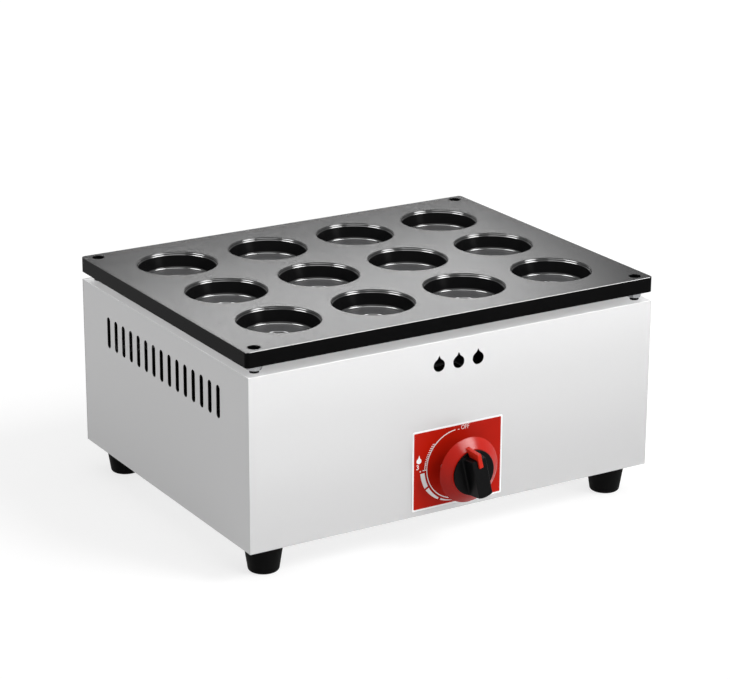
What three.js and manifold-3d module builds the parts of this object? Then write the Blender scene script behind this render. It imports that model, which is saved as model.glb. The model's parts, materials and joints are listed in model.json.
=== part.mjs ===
import * as THREE from 'three';
import { mergeVertices } from 'three/addons/utils/BufferGeometryUtils.js';
import Module from 'manifold-3d';

const wasm = await Module();
wasm.setup();

// Gas-heated plate with twelve round cups on a sheet steel housing.
// All lengths are in millimetres. +Z is up, the front faces -Y, the floor is at 0,
// and the origin lies under the middle of the housing.

// Shared by all pieces
const fit = 0.3; // gap between pieces that touch
const past = 2; // how far a cut runs past a face
const fineSides = 24;
const midSides = 16;
const coarseSides = 12;
const screwSides = 8;
const wireSides = 5;
const cornerSegments = 2; // on a rounded corner
const bendSteps = 6; // round a pipe's bend
const leadSteps = 10;

// Housing
const bodyLength = 447;
const bodyDepth = 344.5;
const bodyHeight = 170.5;
const sheet = 1; // thickness of the folded steel
const flangeWidth = 38; // top and bottom flanges, turned inwards
const returnLip = 14; // upright lips that carry the rear panel
const baseInset = 3;

// Side vents
const ventCount = 15;
const ventPitch = 16.3;
const ventLength = 32;
const ventWidth = 6.3;
const ventDrop = 24; // from the housing's top to the slots

// Lighting holes in the front, drop-shaped
const lightHoleCount = 3;
const lightHolePitch = 21.65;
const lightHoleWidth = 13.3;
const lightHoleHeight = 15.9;
const lightHoleDrop = 13.9;
const lightHoleNib = 2.7; // height and half width of the narrow tip
const lightHoleNeck = 1.3;
const dropSegments = 5; // on each of its curves

// Air slots in the base plate
const airSlotCount = 6;
const airSlotPitch = 46;
const airSlotLength = 90;
const airSlotWidth = 8;

// Feet
const footHeight = 28.8;
const footTopRadius = 19.3;
const footBottomRadius = 15;
const footEdge = 3;
const footInsetX = 28.7;
const footInsetY = 27.4;
const footBoreRadius = 6.5;
const footBoreDepth = 17;

// Baking plate
const plateOverhang = 1.5; // past each side of the housing
const plateSetback = 0.75; // behind its front and before its rear
const plateThickness = 15.2;
const plateCorner = 4;
const plateSkin = 5;
const plateRim = 7;
const plateGap = 8.5; // height of the spacers' space under the plate
const bossRadius = 10;

// Cups
const cupColumns = 4;
const cupRows = 3;
const cupMarginX = 21; // from the plate's sides to the first cup's square
const cupMarginY = 18.5;
const cupLipRadius = 40.2;
const cupMouthRadius = 38.5;
const cupLipDepth = 3.2;
const cupDepth = 16.2;
const cupFootRadius = 35.8;
const cupFillet = 2.4;
const cupWall = 3.6;

// Fasteners
const plateScrewInsetX = 14; // from the plate's edges
const plateScrewInsetY = 11;
const plateScrewRadius = 3;
const plateHeadRadius = 5;
const plateHeadHeight = 6;
const counterboreRadius = 6;
const counterboreDepth = 9;
const hexKeyRadius = 2.9;
const hexKeyDepth = 3;
const plateNutRadius = 5.8;
const plateNutHeight = 5;
const spacerHexRadius = 7.5;
const spacerHexHeight = 5;
const spacerHexTurn = 45; // degrees
const spacerNeckRadius = 4.5;
const footScrewRadius = 2.5;
const footHeadRadius = 4.8;
const footHeadHeight = 3;
const footNutRadius = 4.6;
const footNutHeight = 4;
const threadEnd = 2; // how far a thread stands past its nut
const rearScrewRadius = 1.9;
const rearHeadRadius = 3.7;
const rearHeadHeight = 2.2;
const rearScrewLength = 8;
const rearScrewDrop = 26; // from the housing's top and bottom
const valveScrewRadius = 2;
const valveScrewHead = 3.4;
const valveScrewHeadHeight = 2.2;
const valveScrewSpread = 15;
const driveSlot = 1; // width and depth of a screwdriver slot

// Control label
const labelWidth = 101;
const labelHeight = 80;
const labelThickness = 0.4;
const labelGlue = 0.1;
const labelCorner = 1.5;
const labelHoleRadius = 18.5;

// Control knob. Depths count outwards from the front panel's face.
const knobHeight = 45.4; // axis above the housing's bottom edge
const knobTurned = 13; // degrees from the off mark, as the knob stands
const skirtRimRadius = 32.4;
const skirtRimDepth = 20.1;
const skirtRimEdge = 1.2;
const skirtNeckRadius = 22.6;
const skirtFaceDepth = 27.2;
const skirtWall = 2.2;
const hubRadius = 8.5;
const hubDepth = 7;
const gripRadius = 22.2;
const gripDisc = 2;
const gripFrontRadius = 21.2; // of the bar's round tail, at its front
const barFootHalf = 9.2;
const barFrontHalf = 7.5;
const barHeadEnd = 18.6;
const pointerWidth = 4.2;
const pointerInnerEnd = 10.6;
const pointerSeat = 2.5; // how deep the pointer lies in the grip
const pointerProud = 2; // how far it stands off the bar
const pointerEdge = 0.6;
const pointerTipRadius = 25.2;
const pointerFootRadius = 26;
const reach = 45.6; // how far the pointer, and the hose nozzle behind, stand off the housing

// Gas valve. Depths count inwards from the front panel's face.
const spindleRadius = 4;
const spindleFlat = 2.8; // axis to the flat of the knob's end
const tangWidth = 7;
const tangThickness = 3;
const tangLength = 11;
const collarRadius = 6.6;
const collarThickness = 2.2;
const pushTravel = 3.5;
const bonnetFlange = 3;
const bonnetRadius = 10.5;
const bonnetDepth = 20;
const bonnetRoof = 3.2;
const bonnetBore = 7.8;
const bonnetEarLength = 40;
const bonnetEarWidth = 13;
const springRadius = 5.6;
const springWire = 1.3;
const springTurns = 5;
const valveRadius = 13;
const valveDepth = 52;
const valveEndWall = 5.4;
const plugTopRadius = 8.4;
const plugBottomRadius = 7.2;
const plugSocketDepth = 15;
const plugDrop = 2; // below the bonnet's foot
const gasPassage = 2;
const portRadius = 8;
const portReach = 24;
const portDepth = 34; // the side port, behind the panel's face
const jetThread = 4.6;
const jetHexRadius = 7;
const jetHexHeight = 5;
const jetTipRadius = 2.6;
const jetConeLength = 8;
const jetBore = 1;
const igniterLength = 24;
const igniterDepth = 20;
const igniterHeight = 18;

// Gas supply
const inletX = 130;
const pipeRadius = 4;
const pipeBore = 3;
const pipeBend = 30;
const pipeSocket = 8; // how deep the pipe sits in its fittings
const nozzleThreadRadius = 7;
const nozzleInside = 22;
const nozzleHexRadius = 11.5;
const nozzleHexHeight = 8;
const barbCount = 4;
const barbPitch = 7;
const barbRadius = 5.6;
const barbNeck = 4.4;
const locknutRadius = 11.5;
const locknutHeight = 5;

// Burner
const mouthStart = 61; // depth of the mixing tube's mouth behind the panel's face
const mouthRadius = 13;
const mouthLength = 24;
const mouthTaper = 10;
const tubeWall = 1.5;
const mixerRadius = 10.5;
const mixerBend = 25;
const windowLength = 9;
const windowWidth = 9;
const windowCount = 4;
const windowSetback = 6; // from the mouth's end wall
const shutterMargin = 3.5;
const shutterTab = 6;
const shutterTurned = 15; // degrees from fully open
const headerRadius = 13;
const headerOverhang = 15; // past the outer burners' axes
const headerRise = 43.2; // from the control axis up to the header's axis
const headerBite = 5; // how far its spigots enter the burners
const mixerBite = 7; // how far the mixing tube enters it
const spigotRadius = 8;
const burnerRadius = 11;
const burnerInset = 32.25; // from the housing's front and rear to the burners' ends
const burnerRise = 35.9; // from the header's axis up to the burners' axes
const portSlotCount = 7;
const portSlotPitch = 36;
const portSlotWidth = 2;
const portSlotLength = 12;
const railSheet = 1.5;
const railWidth = 18;
const railDrop = 14;
const railTab = 24;
const railInset = 46.25; // from the housing's front and rear to the rails' middles

// Ignition electrode and its lead
const electrodeGap = 6; // from a burner's side to the electrode's axis
const ceramicRadius = 3.6;
const ceramicAbove = 16;
const ceramicBelow = 20;
const ceramicCollar = 5.4;
const ceramicCollarHeight = 3;
const electrodePin = 1;
const electrodePinLength = 14;
const leadRadius = 1.6;
const leadRise = 12;

// Levels, faces and places that follow from the sizes above
const baseBottom = footHeight + fit;
const bodyBottom = baseBottom + sheet + fit;
const bodyTop = bodyBottom + bodyHeight;
const plateBottom = bodyTop + plateGap;
const plateTop = plateBottom + plateThickness;
const frontFace = -bodyDepth / 2;
const rearFace = bodyDepth / 2;
const wrapEnd = rearFace - sheet - fit;
const knobLevel = bodyBottom + knobHeight;
const headerHeight = knobLevel + headerRise;
const burnerLevel = headerHeight + burnerRise;
const railTop = burnerLevel - burnerRadius - fit;
const footX = bodyLength / 2 - footInsetX;
const footY = bodyDepth / 2 - footInsetY;
const shaftHole = spindleRadius + fit;
const barDepth = reach - pointerProud;
const plateLength = bodyLength + 2 * plateOverhang;
const plateWidth = bodyDepth - 2 * plateSetback;
const plateScrewX = plateLength / 2 - plateScrewInsetX;
const plateScrewY = plateWidth / 2 - plateScrewInsetY;
const cupPitchX = (plateLength - 2 * cupMarginX) / cupColumns;
const cupPitchY = (plateWidth - 2 * cupMarginY) / cupRows;
const cupXs = Array.from({ length: cupColumns }, (_, i) => (i - (cupColumns - 1) / 2) * cupPitchX);
const cupYs = Array.from({ length: cupRows }, (_, j) => (j - (cupRows - 1) / 2) * cupPitchY);
const burnerHalf = bodyDepth / 2 - burnerInset;
const headerHalf = Math.max(...cupXs) + headerOverhang;
const railY = bodyDepth / 2 - railInset;

// Turns a closed three.js geometry into a solid, with its faces outwards.
function solid(geometry) {
  const bare = geometry.clone();
  bare.deleteAttribute('normal');
  bare.deleteAttribute('uv');
  const merged = mergeVertices(bare);
  const index = merged.index.array;
  const build = (flip) => {
    const triVerts = [];
    for (let i = 0; i < index.length; i += 3) {
      const [a, b, c] = [index[i], index[i + 1], index[i + 2]];
      if (a !== b && b !== c && c !== a) triVerts.push(a, flip ? c : b, flip ? b : c);
    }
    return new wasm.Manifold(
      new wasm.Mesh({
        numProp: 3,
        vertProperties: merged.attributes.position.array,
        triVerts: new Uint32Array(triVerts),
      }),
    );
  };
  const made = build(false);
  return made.volume() < 0 ? build(true) : made;
}

// Gives a solid back as a three.js geometry.
function geometryOf(made) {
  const { vertProperties, triVerts } = made.getMesh();
  const geometry = new THREE.BufferGeometry();
  geometry.setAttribute('position', new THREE.BufferAttribute(vertProperties, 3));
  geometry.setIndex(new THREE.BufferAttribute(triVerts, 1));
  const flat = geometry.toNonIndexed();
  flat.computeVertexNormals();
  return flat;
}

// A block between two corners.
function block([x0, y0, z0], [x1, y1, z1]) {
  const geometry = new THREE.BoxGeometry(x1 - x0, y1 - y0, z1 - z0);
  return solid(geometry.translate((x0 + x1) / 2, (y0 + y1) / 2, (z0 + z1) / 2));
}

// A profile of [radius, height] points turned about the Z axis.
function turned(profile, sides) {
  const points = profile.map(([r, z]) => new THREE.Vector2(r, z));
  const closed = profile[0][0] === 0 ? points : [...points, points[0].clone()];
  return solid(new THREE.LatheGeometry(closed, sides).rotateX(Math.PI / 2));
}

// A round bar along Z.
function bar(radius, z0, z1, sides) {
  return turned([[0, z0], [radius, z0], [radius, z1], [0, z1]], sides);
}

// A hexagon along Z, with its corners at the given radius.
function hexagon(radius, z0, z1) {
  return bar(radius, z0, z1, 6);
}

// A shape drawn in XY and raised along Z.
function raised(shape, z0, z1, curveSegments = cornerSegments) {
  const settings = { depth: z1 - z0, bevelEnabled: false, curveSegments };
  return solid(new THREE.ExtrudeGeometry(shape, settings).translate(0, 0, z0));
}

// A round section swept along a path, hollow if a bore is given.
function swept(path, radius, bore, steps, sides) {
  const ring = (r) => {
    const points = [];
    for (let i = 0; i < sides; i += 1) {
      const angle = (2 * Math.PI * i) / sides;
      points.push(new THREE.Vector2(r * Math.cos(angle), r * Math.sin(angle)));
    }
    return points;
  };
  const section = new THREE.Shape(ring(radius));
  if (bore > 0) section.holes.push(new THREE.Path(ring(bore)));
  return solid(new THREE.ExtrudeGeometry(section, { steps, extrudePath: path }));
}

// A rectangle with rounded corners, centred on the origin.
function roundedRectangle(width, height, corner) {
  const [x, y] = [width / 2, height / 2];
  const shape = new THREE.Shape();
  shape.moveTo(-x + corner, -y);
  shape.lineTo(x - corner, -y);
  shape.quadraticCurveTo(x, -y, x, -y + corner);
  shape.lineTo(x, y - corner);
  shape.quadraticCurveTo(x, y, x - corner, y);
  shape.lineTo(-x + corner, y);
  shape.quadraticCurveTo(-x, y, -x, y - corner);
  shape.lineTo(-x, -y + corner);
  shape.quadraticCurveTo(-x, -y, -x + corner, -y);
  return shape;
}

// An upright slot with half-round ends, centred on the origin.
function slotShape(width, length) {
  const r = width / 2;
  const shape = new THREE.Shape();
  shape.absarc(0, length / 2 - r, r, 0, Math.PI);
  shape.absarc(0, r - length / 2, r, Math.PI, 2 * Math.PI);
  return shape;
}

// A drop with its narrow tip up and the bottom of its bulb at 0.
function dropShape(width, height, neck, nib) {
  const r = width / 2;
  const rise = Math.PI / 3; // how far up its sides the bulb stays round
  const shoulderShare = 0.6;
  const [sideX, sideY] = [r * Math.cos(rise), r + r * Math.sin(rise)];
  const reachIn = (sideX - neck) * shoulderShare;
  const [shoulderX, shoulderY] = [sideX - reachIn, sideY + reachIn / Math.tan(rise)];
  const shape = new THREE.Shape();
  shape.moveTo(0, height);
  shape.lineTo(-neck, height - nib);
  shape.quadraticCurveTo(-shoulderX, shoulderY, -sideX, sideY);
  shape.absarc(0, r, r, Math.PI - rise, 2 * Math.PI + rise);
  shape.quadraticCurveTo(shoulderX, shoulderY, neck, height - nib);
  shape.lineTo(0, height);
  return shape;
}

const turnX = (made, degrees) => made.rotate([degrees, 0, 0]);

// A solid drawn in XY and raised along Z, stood up so that Y becomes Z and Z becomes -Y.
const facingFront = (made) => turnX(made, 90);

// The same, turned on so that X becomes Y, Y becomes Z and Z becomes X.
const facingSide = (made) => turnX(made, 90).rotate([0, 0, 90]);

const join = (first, ...others) => others.reduce((sum, next) => sum.add(next), first);
const cut = (first, ...others) => others.reduce((rest, next) => rest.subtract(next), first);

// Materials, by the look of each surface
const finishes = {
  stainless: { color: 0xd9d9d9, roughness: 0.32, metalness: 0.9 },
  castCoated: { color: 0x2a2a2c, roughness: 0.45, metalness: 0.1 },
  rubber: { color: 0x0e0e0e, roughness: 0.8, metalness: 0 },
  zincSteel: { color: 0xb8bcc0, roughness: 0.35, metalness: 0.9 },
  blackScrew: { color: 0x101012, roughness: 0.5, metalness: 0.4 },
  redPlastic: { color: 0xd01c0e, roughness: 0.35, metalness: 0 },
  blackPlastic: { color: 0x0b0b0c, roughness: 0.35, metalness: 0 },
  redLabel: { color: 0xc41a0c, roughness: 0.4, metalness: 0 },
  brass: { color: 0xc9a24a, roughness: 0.3, metalness: 0.9 },
  burnerSteel: { color: 0x8d8f92, roughness: 0.5, metalness: 0.8 },
  ceramic: { color: 0xf0ece2, roughness: 0.3, metalness: 0 },
  leadSheath: { color: 0xe8e4da, roughness: 0.6, metalness: 0 },
};

const machine = new THREE.Group();

function place(name, made, finish, parent = machine, position = [0, 0, 0]) {
  const geometry = made.isBufferGeometry ? made : geometryOf(made);
  const mesh = new THREE.Mesh(geometry, new THREE.MeshStandardMaterial(finishes[finish]));
  mesh.name = name;
  mesh.position.set(...position);
  parent.add(mesh);
  return mesh;
}

// The four places of a piece that stands at each corner.
function corners(x, y) {
  return [[-x, -y], [x, -y], [x, y], [-x, y]];
}

const upright = (x, y, radius, z0, z1, sides = coarseSides) =>
  bar(radius, z0, z1, sides).translate([x, y, 0]);

// Baking plate: a ribless casting with a deep rim, four screw bosses and twelve cups.
function bakingPlate() {
  const outline = roundedRectangle(plateLength, plateWidth, plateCorner);
  const hollow = roundedRectangle(plateLength - 2 * plateRim, plateWidth - 2 * plateRim, plateCorner);
  let plate = raised(outline, plateBottom, plateTop);
  plate = cut(plate, raised(hollow, plateBottom - past, plateTop - plateSkin));
  const floorRadius = cupFootRadius - cupFillet;
  const bowl = turned(
    [
      [0, -cupDepth - cupWall],
      [floorRadius + cupWall / 2, -cupDepth - cupWall],
      [cupFootRadius + cupWall, cupFillet - cupDepth],
      [cupMouthRadius + cupWall, -plateSkin / 2],
      [0, -plateSkin / 2],
    ],
    midSides,
  );
  const lipRise = past * ((cupLipRadius - cupMouthRadius) / cupLipDepth);
  const cup = turned(
    [
      [0, -cupDepth],
      [floorRadius, -cupDepth],
      [cupFootRadius, cupFillet - cupDepth],
      [cupMouthRadius, -cupLipDepth],
      [cupLipRadius + lipRise, past],
      [0, past],
    ],
    fineSides,
  );
  const spots = cupXs.flatMap((x) => cupYs.map((y) => [x, y, plateTop]));
  const bosses = corners(plateScrewX, plateScrewY).map(([x, y]) =>
    upright(x, y, bossRadius, plateBottom, plateTop - plateSkin / 2),
  );
  plate = join(plate, ...spots.map((spot) => bowl.translate(spot)), ...bosses);
  const holes = corners(plateScrewX, plateScrewY).flatMap(([x, y]) => [
    upright(x, y, plateScrewRadius + fit, plateBottom - past, plateTop + past),
    upright(x, y, counterboreRadius, plateTop - counterboreDepth, plateTop + past, midSides),
  ]);
  return cut(plate, ...spots.map((spot) => cup.translate(spot)), ...holes);
}

// Front and both sides of the housing, folded from one sheet with flanges above and below.
function housingWrap() {
  const [x, inX] = [bodyLength / 2, bodyLength / 2 - sheet];
  let wrap = block([-x, frontFace, bodyBottom], [x, wrapEnd, bodyTop]);
  const inside = block(
    [-inX, frontFace + sheet, bodyBottom + sheet],
    [inX, wrapEnd - sheet, bodyTop - sheet],
  );
  const opening = block(
    [flangeWidth - x, frontFace + flangeWidth, bodyBottom - past],
    [x - flangeWidth, wrapEnd + past, bodyTop + past],
  );
  const lipX = inX - returnLip;
  const rearWay = block(
    [-lipX, wrapEnd - sheet - past, bodyBottom + sheet],
    [lipX, wrapEnd + past, bodyTop - sheet],
  );
  wrap = cut(wrap, inside, opening, rearWay);
  const vent = facingSide(raised(slotShape(ventWidth, ventLength), -x - past, x + past));
  const ventLevel = bodyTop - ventDrop - ventLength / 2;
  for (let i = 0; i < ventCount; i += 1) {
    wrap = cut(wrap, vent.translate([0, (i - (ventCount - 1) / 2) * ventPitch, ventLevel]));
  }
  const outline = dropShape(lightHoleWidth, lightHoleHeight, lightHoleNeck, lightHoleNib);
  const drop = facingFront(raised(outline, -sheet - past, past, dropSegments));
  const dropLevel = bodyTop - lightHoleDrop - lightHoleHeight;
  for (let i = 0; i < lightHoleCount; i += 1) {
    const holeX = (i - (lightHoleCount - 1) / 2) * lightHolePitch;
    wrap = cut(wrap, drop.translate([holeX, frontFace, dropLevel]));
  }
  const spindleHole = facingFront(bar(bonnetBore, -sheet - past, past, midSides));
  wrap = cut(wrap, spindleHole.translate([0, frontFace, knobLevel]));
  const valveScrewHole = facingFront(bar(valveScrewRadius + fit, -sheet - past, past, coarseSides));
  for (const side of [-1, 1]) {
    wrap = cut(wrap, valveScrewHole.translate([side * valveScrewSpread, frontFace, knobLevel]));
  }
  const [topStart, bottomEnd] = [bodyTop - sheet - past, bodyBottom + sheet + past];
  for (const [sx, sy] of corners(plateScrewX, plateScrewY)) {
    wrap = cut(wrap, upright(sx, sy, plateScrewRadius + fit, topStart, bodyTop + past));
  }
  for (const [fx, fy] of corners(footX, footY)) {
    wrap = cut(wrap, upright(fx, fy, footScrewRadius + fit, bodyBottom - past, bottomEnd));
  }
  return cut(wrap, ...rearScrewHoles());
}

function rearScrewPlaces() {
  const x = bodyLength / 2 - sheet - returnLip / 2;
  return [bodyBottom + rearScrewDrop, bodyTop - rearScrewDrop].flatMap((z) => [[-x, z], [x, z]]);
}

function rearScrewHoles() {
  const hole = facingFront(bar(rearScrewRadius + fit, -past, 2 * sheet + fit + past, coarseSides));
  return rearScrewPlaces().map(([x, z]) => hole.translate([x, rearFace, z]));
}

// Rear panel with its own flanges, lying against the lips of the wrap.
function rearPanel() {
  const x = bodyLength / 2;
  const flangeX = x - flangeWidth - fit;
  const face = block([-x, rearFace - sheet, bodyBottom], [x, rearFace, bodyTop]);
  const [y0, y1] = [rearFace - flangeWidth, rearFace - sheet / 2];
  const flange = (z) => block([-flangeX, y0, z], [flangeX, y1, z + sheet]);
  const inletHole = facingFront(bar(nozzleThreadRadius + fit, -past, sheet + past, midSides));
  return cut(
    join(face, flange(bodyTop - sheet), flange(bodyBottom)),
    inletHole.translate([inletX, rearFace, knobLevel]),
    ...rearScrewHoles(),
  );
}

// Flat base plate under the housing's bottom flanges, with air slots for the burners.
function basePlate() {
  const outline = roundedRectangle(bodyLength - 2 * baseInset, bodyDepth - 2 * baseInset, baseInset);
  const z0 = baseBottom;
  let plate = raised(outline, z0, z0 + sheet);
  const slot = raised(slotShape(airSlotWidth, airSlotLength), z0 - past, z0 + sheet + past);
  for (let i = 0; i < airSlotCount; i += 1) {
    plate = cut(plate, slot.translate([(i - (airSlotCount - 1) / 2) * airSlotPitch, 0, 0]));
  }
  for (const [x, y] of corners(footX, footY)) {
    plate = cut(plate, upright(x, y, footScrewRadius + fit, z0 - past, z0 + sheet + past));
  }
  return plate;
}

// Tapered rubber foot, bored from below for its screw.
function foot() {
  const hole = footScrewRadius + fit;
  return turned(
    [
      [footBoreRadius, 0],
      [footBottomRadius - footEdge, 0],
      [footBottomRadius, footEdge],
      [footTopRadius, footHeight],
      [hole, footHeight],
      [hole, footBoreDepth],
      [footBoreRadius, footBoreDepth],
    ],
    midSides,
  );
}

// A screw that stands on its head, thread up, with a slot across the head.
function uprightScrew(radius, headRadius, headHeight, length) {
  const head = bar(headRadius, -headHeight, 0, screwSides);
  const thread = bar(radius, -headHeight / 2, length, screwSides);
  const [half, far] = [driveSlot / 2, headRadius + past];
  const slot = block([-far, -half, -headHeight - past], [far, half, driveSlot - headHeight]);
  return cut(join(head, thread), slot);
}

// A hexagon nut with its bottom face at 0.
function nut(radius, height, threadRadius) {
  return cut(hexagon(radius, 0, height), bar(threadRadius + fit, -past, height + past, coarseSides));
}

// Plate, spacers, and the screws that go down through them into the housing's top flange
place('baking_plate', bakingPlate(), 'castCoated');
const plateSeat = plateTop - counterboreDepth + fit;
const plateNutTop = bodyTop - sheet - fit;
const plateNutBottom = plateNutTop - plateNutHeight;
const plateScrewTip = plateNutBottom - threadEnd;
const capScrew = geometryOf(
  cut(
    turned(
      [
        [0, plateScrewTip],
        [plateScrewRadius, plateScrewTip],
        [plateScrewRadius, plateSeat],
        [plateHeadRadius, plateSeat],
        [plateHeadRadius, plateSeat + plateHeadHeight],
        [0, plateSeat + plateHeadHeight],
      ],
      screwSides,
    ),
    hexagon(hexKeyRadius, plateSeat + plateHeadHeight - hexKeyDepth, plateSeat + plateHeadHeight + past),
  ),
);
const plateNut = geometryOf(nut(plateNutRadius, plateNutHeight, plateScrewRadius));
// Each spacer has a hexagon under the plate and a round neck that stands on the housing's flange.
const [spacerBottom, spacerTop] = [bodyTop + fit, plateBottom - fit];
const spacerHexBottom = spacerTop - spacerHexHeight;
const spacerHex = hexagon(spacerHexRadius, spacerHexBottom, spacerTop).rotate([0, 0, spacerHexTurn]);
const spacerNeck = bar(spacerNeckRadius, spacerBottom, spacerHexBottom + spacerHexHeight / 2, coarseSides);
const spacerWay = bar(plateScrewRadius + fit, spacerBottom - past, spacerTop + past, coarseSides);
const spacer = geometryOf(cut(join(spacerHex, spacerNeck), spacerWay));
corners(plateScrewX, plateScrewY).forEach(([x, y], i) => {
  place(`plate_screw_${i + 1}`, capScrew, 'blackScrew', machine, [x, y, 0]);
  place(`plate_nut_${i + 1}`, plateNut, 'zincSteel', machine, [x, y, plateNutBottom]);
  place(`plate_spacer_${i + 1}`, spacer, 'zincSteel', machine, [x, y, 0]);
});

// Housing
place('housing_wrap', housingWrap(), 'stainless');
place('rear_panel', rearPanel(), 'stainless');
place('base_plate', basePlate(), 'stainless');

// Rear panel screws: heads outside, thread through the lips of the wrap
const rearScrew = geometryOf(
  turnX(uprightScrew(rearScrewRadius, rearHeadRadius, rearHeadHeight, rearScrewLength), 90),
);
rearScrewPlaces().forEach(([x, z], i) => {
  place(`rear_screw_${i + 1}`, rearScrew, 'zincSteel', machine, [x, rearFace + fit, z]);
});

// Feet, each held by a screw through base plate and bottom flange
const footGeometry = geometryOf(foot());
const footSeat = footBoreDepth - fit;
const footNutBottom = bodyBottom + sheet + fit;
const footScrewLength = footNutBottom + footNutHeight + threadEnd - footSeat;
const footScrew = geometryOf(
  uprightScrew(footScrewRadius, footHeadRadius, footHeadHeight, footScrewLength),
);
const footNut = geometryOf(nut(footNutRadius, footNutHeight, footScrewRadius));
corners(footX, footY).forEach(([x, y], i) => {
  place(`foot_${i + 1}`, footGeometry, 'rubber', machine, [x, y, 0]);
  place(`foot_screw_${i + 1}`, footScrew, 'zincSteel', machine, [x, y, footSeat]);
  place(`foot_nut_${i + 1}`, footNut, 'zincSteel', machine, [x, y, footNutBottom]);
});

// Control axis: its Z points out of the front panel and its Y points up.
const control = new THREE.Group();
control.position.set(0, frontFace, knobLevel);
control.rotation.x = Math.PI / 2;
machine.add(control);

function controlLabel() {
  const z0 = labelGlue;
  const plate = raised(roundedRectangle(labelWidth, labelHeight, labelCorner), z0, z0 + labelThickness);
  return cut(plate, bar(labelHoleRadius, z0 - past, z0 + labelThickness + past, fineSides));
}
place('control_label', controlLabel(), 'redLabel', control);

// Knob: a red dish with a hub on the spindle, a black grip on it, and a red pointer let in
const knob = new THREE.Group();
knob.rotation.z = THREE.MathUtils.degToRad(knobTurned);
control.add(knob);

// A round bar with a flat on its +Y side.
function flattedBar(radius, flat, z0, z1) {
  const far = radius + past;
  return cut(bar(radius, z0, z1, midSides), block([-far, flat, z0 - past], [far, far, z1 + past]));
}

function knobSkirt() {
  const slope = (skirtFaceDepth - skirtRimDepth) / (skirtRimRadius - skirtNeckRadius);
  const innerFace = skirtFaceDepth - skirtWall;
  const innerRim = skirtRimDepth - skirtRimEdge;
  const innerNeck = skirtRimRadius - skirtWall - (innerFace - innerRim) / slope;
  const dish = turned(
    [
      [0, hubDepth],
      [hubRadius, hubDepth],
      [hubRadius, innerFace],
      [innerNeck, innerFace],
      [skirtRimRadius - skirtWall, innerRim],
      [skirtRimRadius, innerRim],
      [skirtRimRadius, skirtRimDepth],
      [skirtNeckRadius, skirtFaceDepth],
      [0, skirtFaceDepth],
    ],
    fineSides,
  );
  return cut(dish, flattedBar(shaftHole, spindleFlat + fit, hubDepth - past, innerFace));
}

const gripFoot = skirtFaceDepth + fit;

// The grip's bar: a wedge that narrows towards its front, with a flat head and a round tail.
function gripBar() {
  const z0 = gripFoot + gripDisc / 2;
  const section = new THREE.Shape([
    new THREE.Vector2(-barFootHalf, z0),
    new THREE.Vector2(barFootHalf, z0),
    new THREE.Vector2(barFrontHalf, barDepth),
    new THREE.Vector2(-barFrontHalf, barDepth),
  ]);
  const wedge = turnX(raised(section, -barHeadEnd, gripRadius + past), 90);
  const round = [[0, z0], [gripRadius, z0], [gripFrontRadius, barDepth], [0, barDepth]];
  return wedge.intersect(turned(round, fineSides));
}

const pointerFloor = barDepth - pointerSeat;

function knobGrip() {
  const disc = bar(gripRadius, gripFoot, gripFoot + gripDisc, fineSides);
  const half = pointerWidth / 2 + fit;
  const far = gripRadius + past;
  const frontGroove = block(
    [-half, pointerInnerEnd - fit, pointerFloor - fit],
    [half, far, reach + past],
  );
  const headGroove = block(
    [-half, barHeadEnd - pointerSeat - fit, gripFoot - past],
    [half, far, reach + past],
  );
  return cut(join(disc, gripBar()), frontGroove, headGroove);
}

function knobPointer() {
  const slope = (skirtFaceDepth - skirtRimDepth) / (skirtRimRadius - skirtNeckRadius);
  const footDepth = skirtFaceDepth - (pointerFootRadius - skirtNeckRadius) * slope;
  const inner = barHeadEnd - pointerSeat;
  const outline = new THREE.Shape([
    new THREE.Vector2(inner, gripFoot),
    new THREE.Vector2(skirtNeckRadius, gripFoot),
    new THREE.Vector2(pointerFootRadius, footDepth + fit),
    new THREE.Vector2(pointerTipRadius, reach - pointerEdge),
    new THREE.Vector2(pointerTipRadius - pointerEdge, reach),
    new THREE.Vector2(pointerInnerEnd + pointerEdge, reach),
    new THREE.Vector2(pointerInnerEnd, reach - pointerEdge),
    new THREE.Vector2(pointerInnerEnd, pointerFloor),
    new THREE.Vector2(inner, pointerFloor),
  ]);
  return facingSide(raised(outline, -pointerWidth / 2, pointerWidth / 2));
}

place('knob_skirt', knobSkirt(), 'redPlastic', knob);
place('knob_grip', knobGrip(), 'blackPlastic', knob);
place('knob_pointer', knobPointer(), 'redPlastic', knob);

// Spindle: round, flatted in the knob, with a collar under the bonnet and a tang in the plug
const collarTop = -sheet - fit - bonnetRoof - fit;
const collarBottom = collarTop - collarThickness;
const spindleTop = skirtFaceDepth - skirtWall - fit;
const plugTop = -bonnetDepth - plugDrop;
const tangTop = plugTop + fit + pushTravel + fit;
const tangBottom = tangTop - tangLength - pushTravel;

function spindle() {
  const shank = join(
    flattedBar(spindleRadius, spindleFlat, hubDepth - pushTravel, spindleTop),
    bar(spindleRadius, tangTop, hubDepth - pushTravel, midSides),
    bar(collarRadius, collarBottom, collarTop, midSides),
  );
  const [w, t] = [tangWidth / 2, tangThickness / 2];
  return join(shank, block([-w, -t, tangBottom], [w, t, tangTop + fit]));
}
place('spindle', spindle(), 'zincSteel', knob);

// Plug: tapered, with a socket for the tang and gas ways in its side and foot
const plugBottom = valveEndWall + fit - valveDepth;

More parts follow.
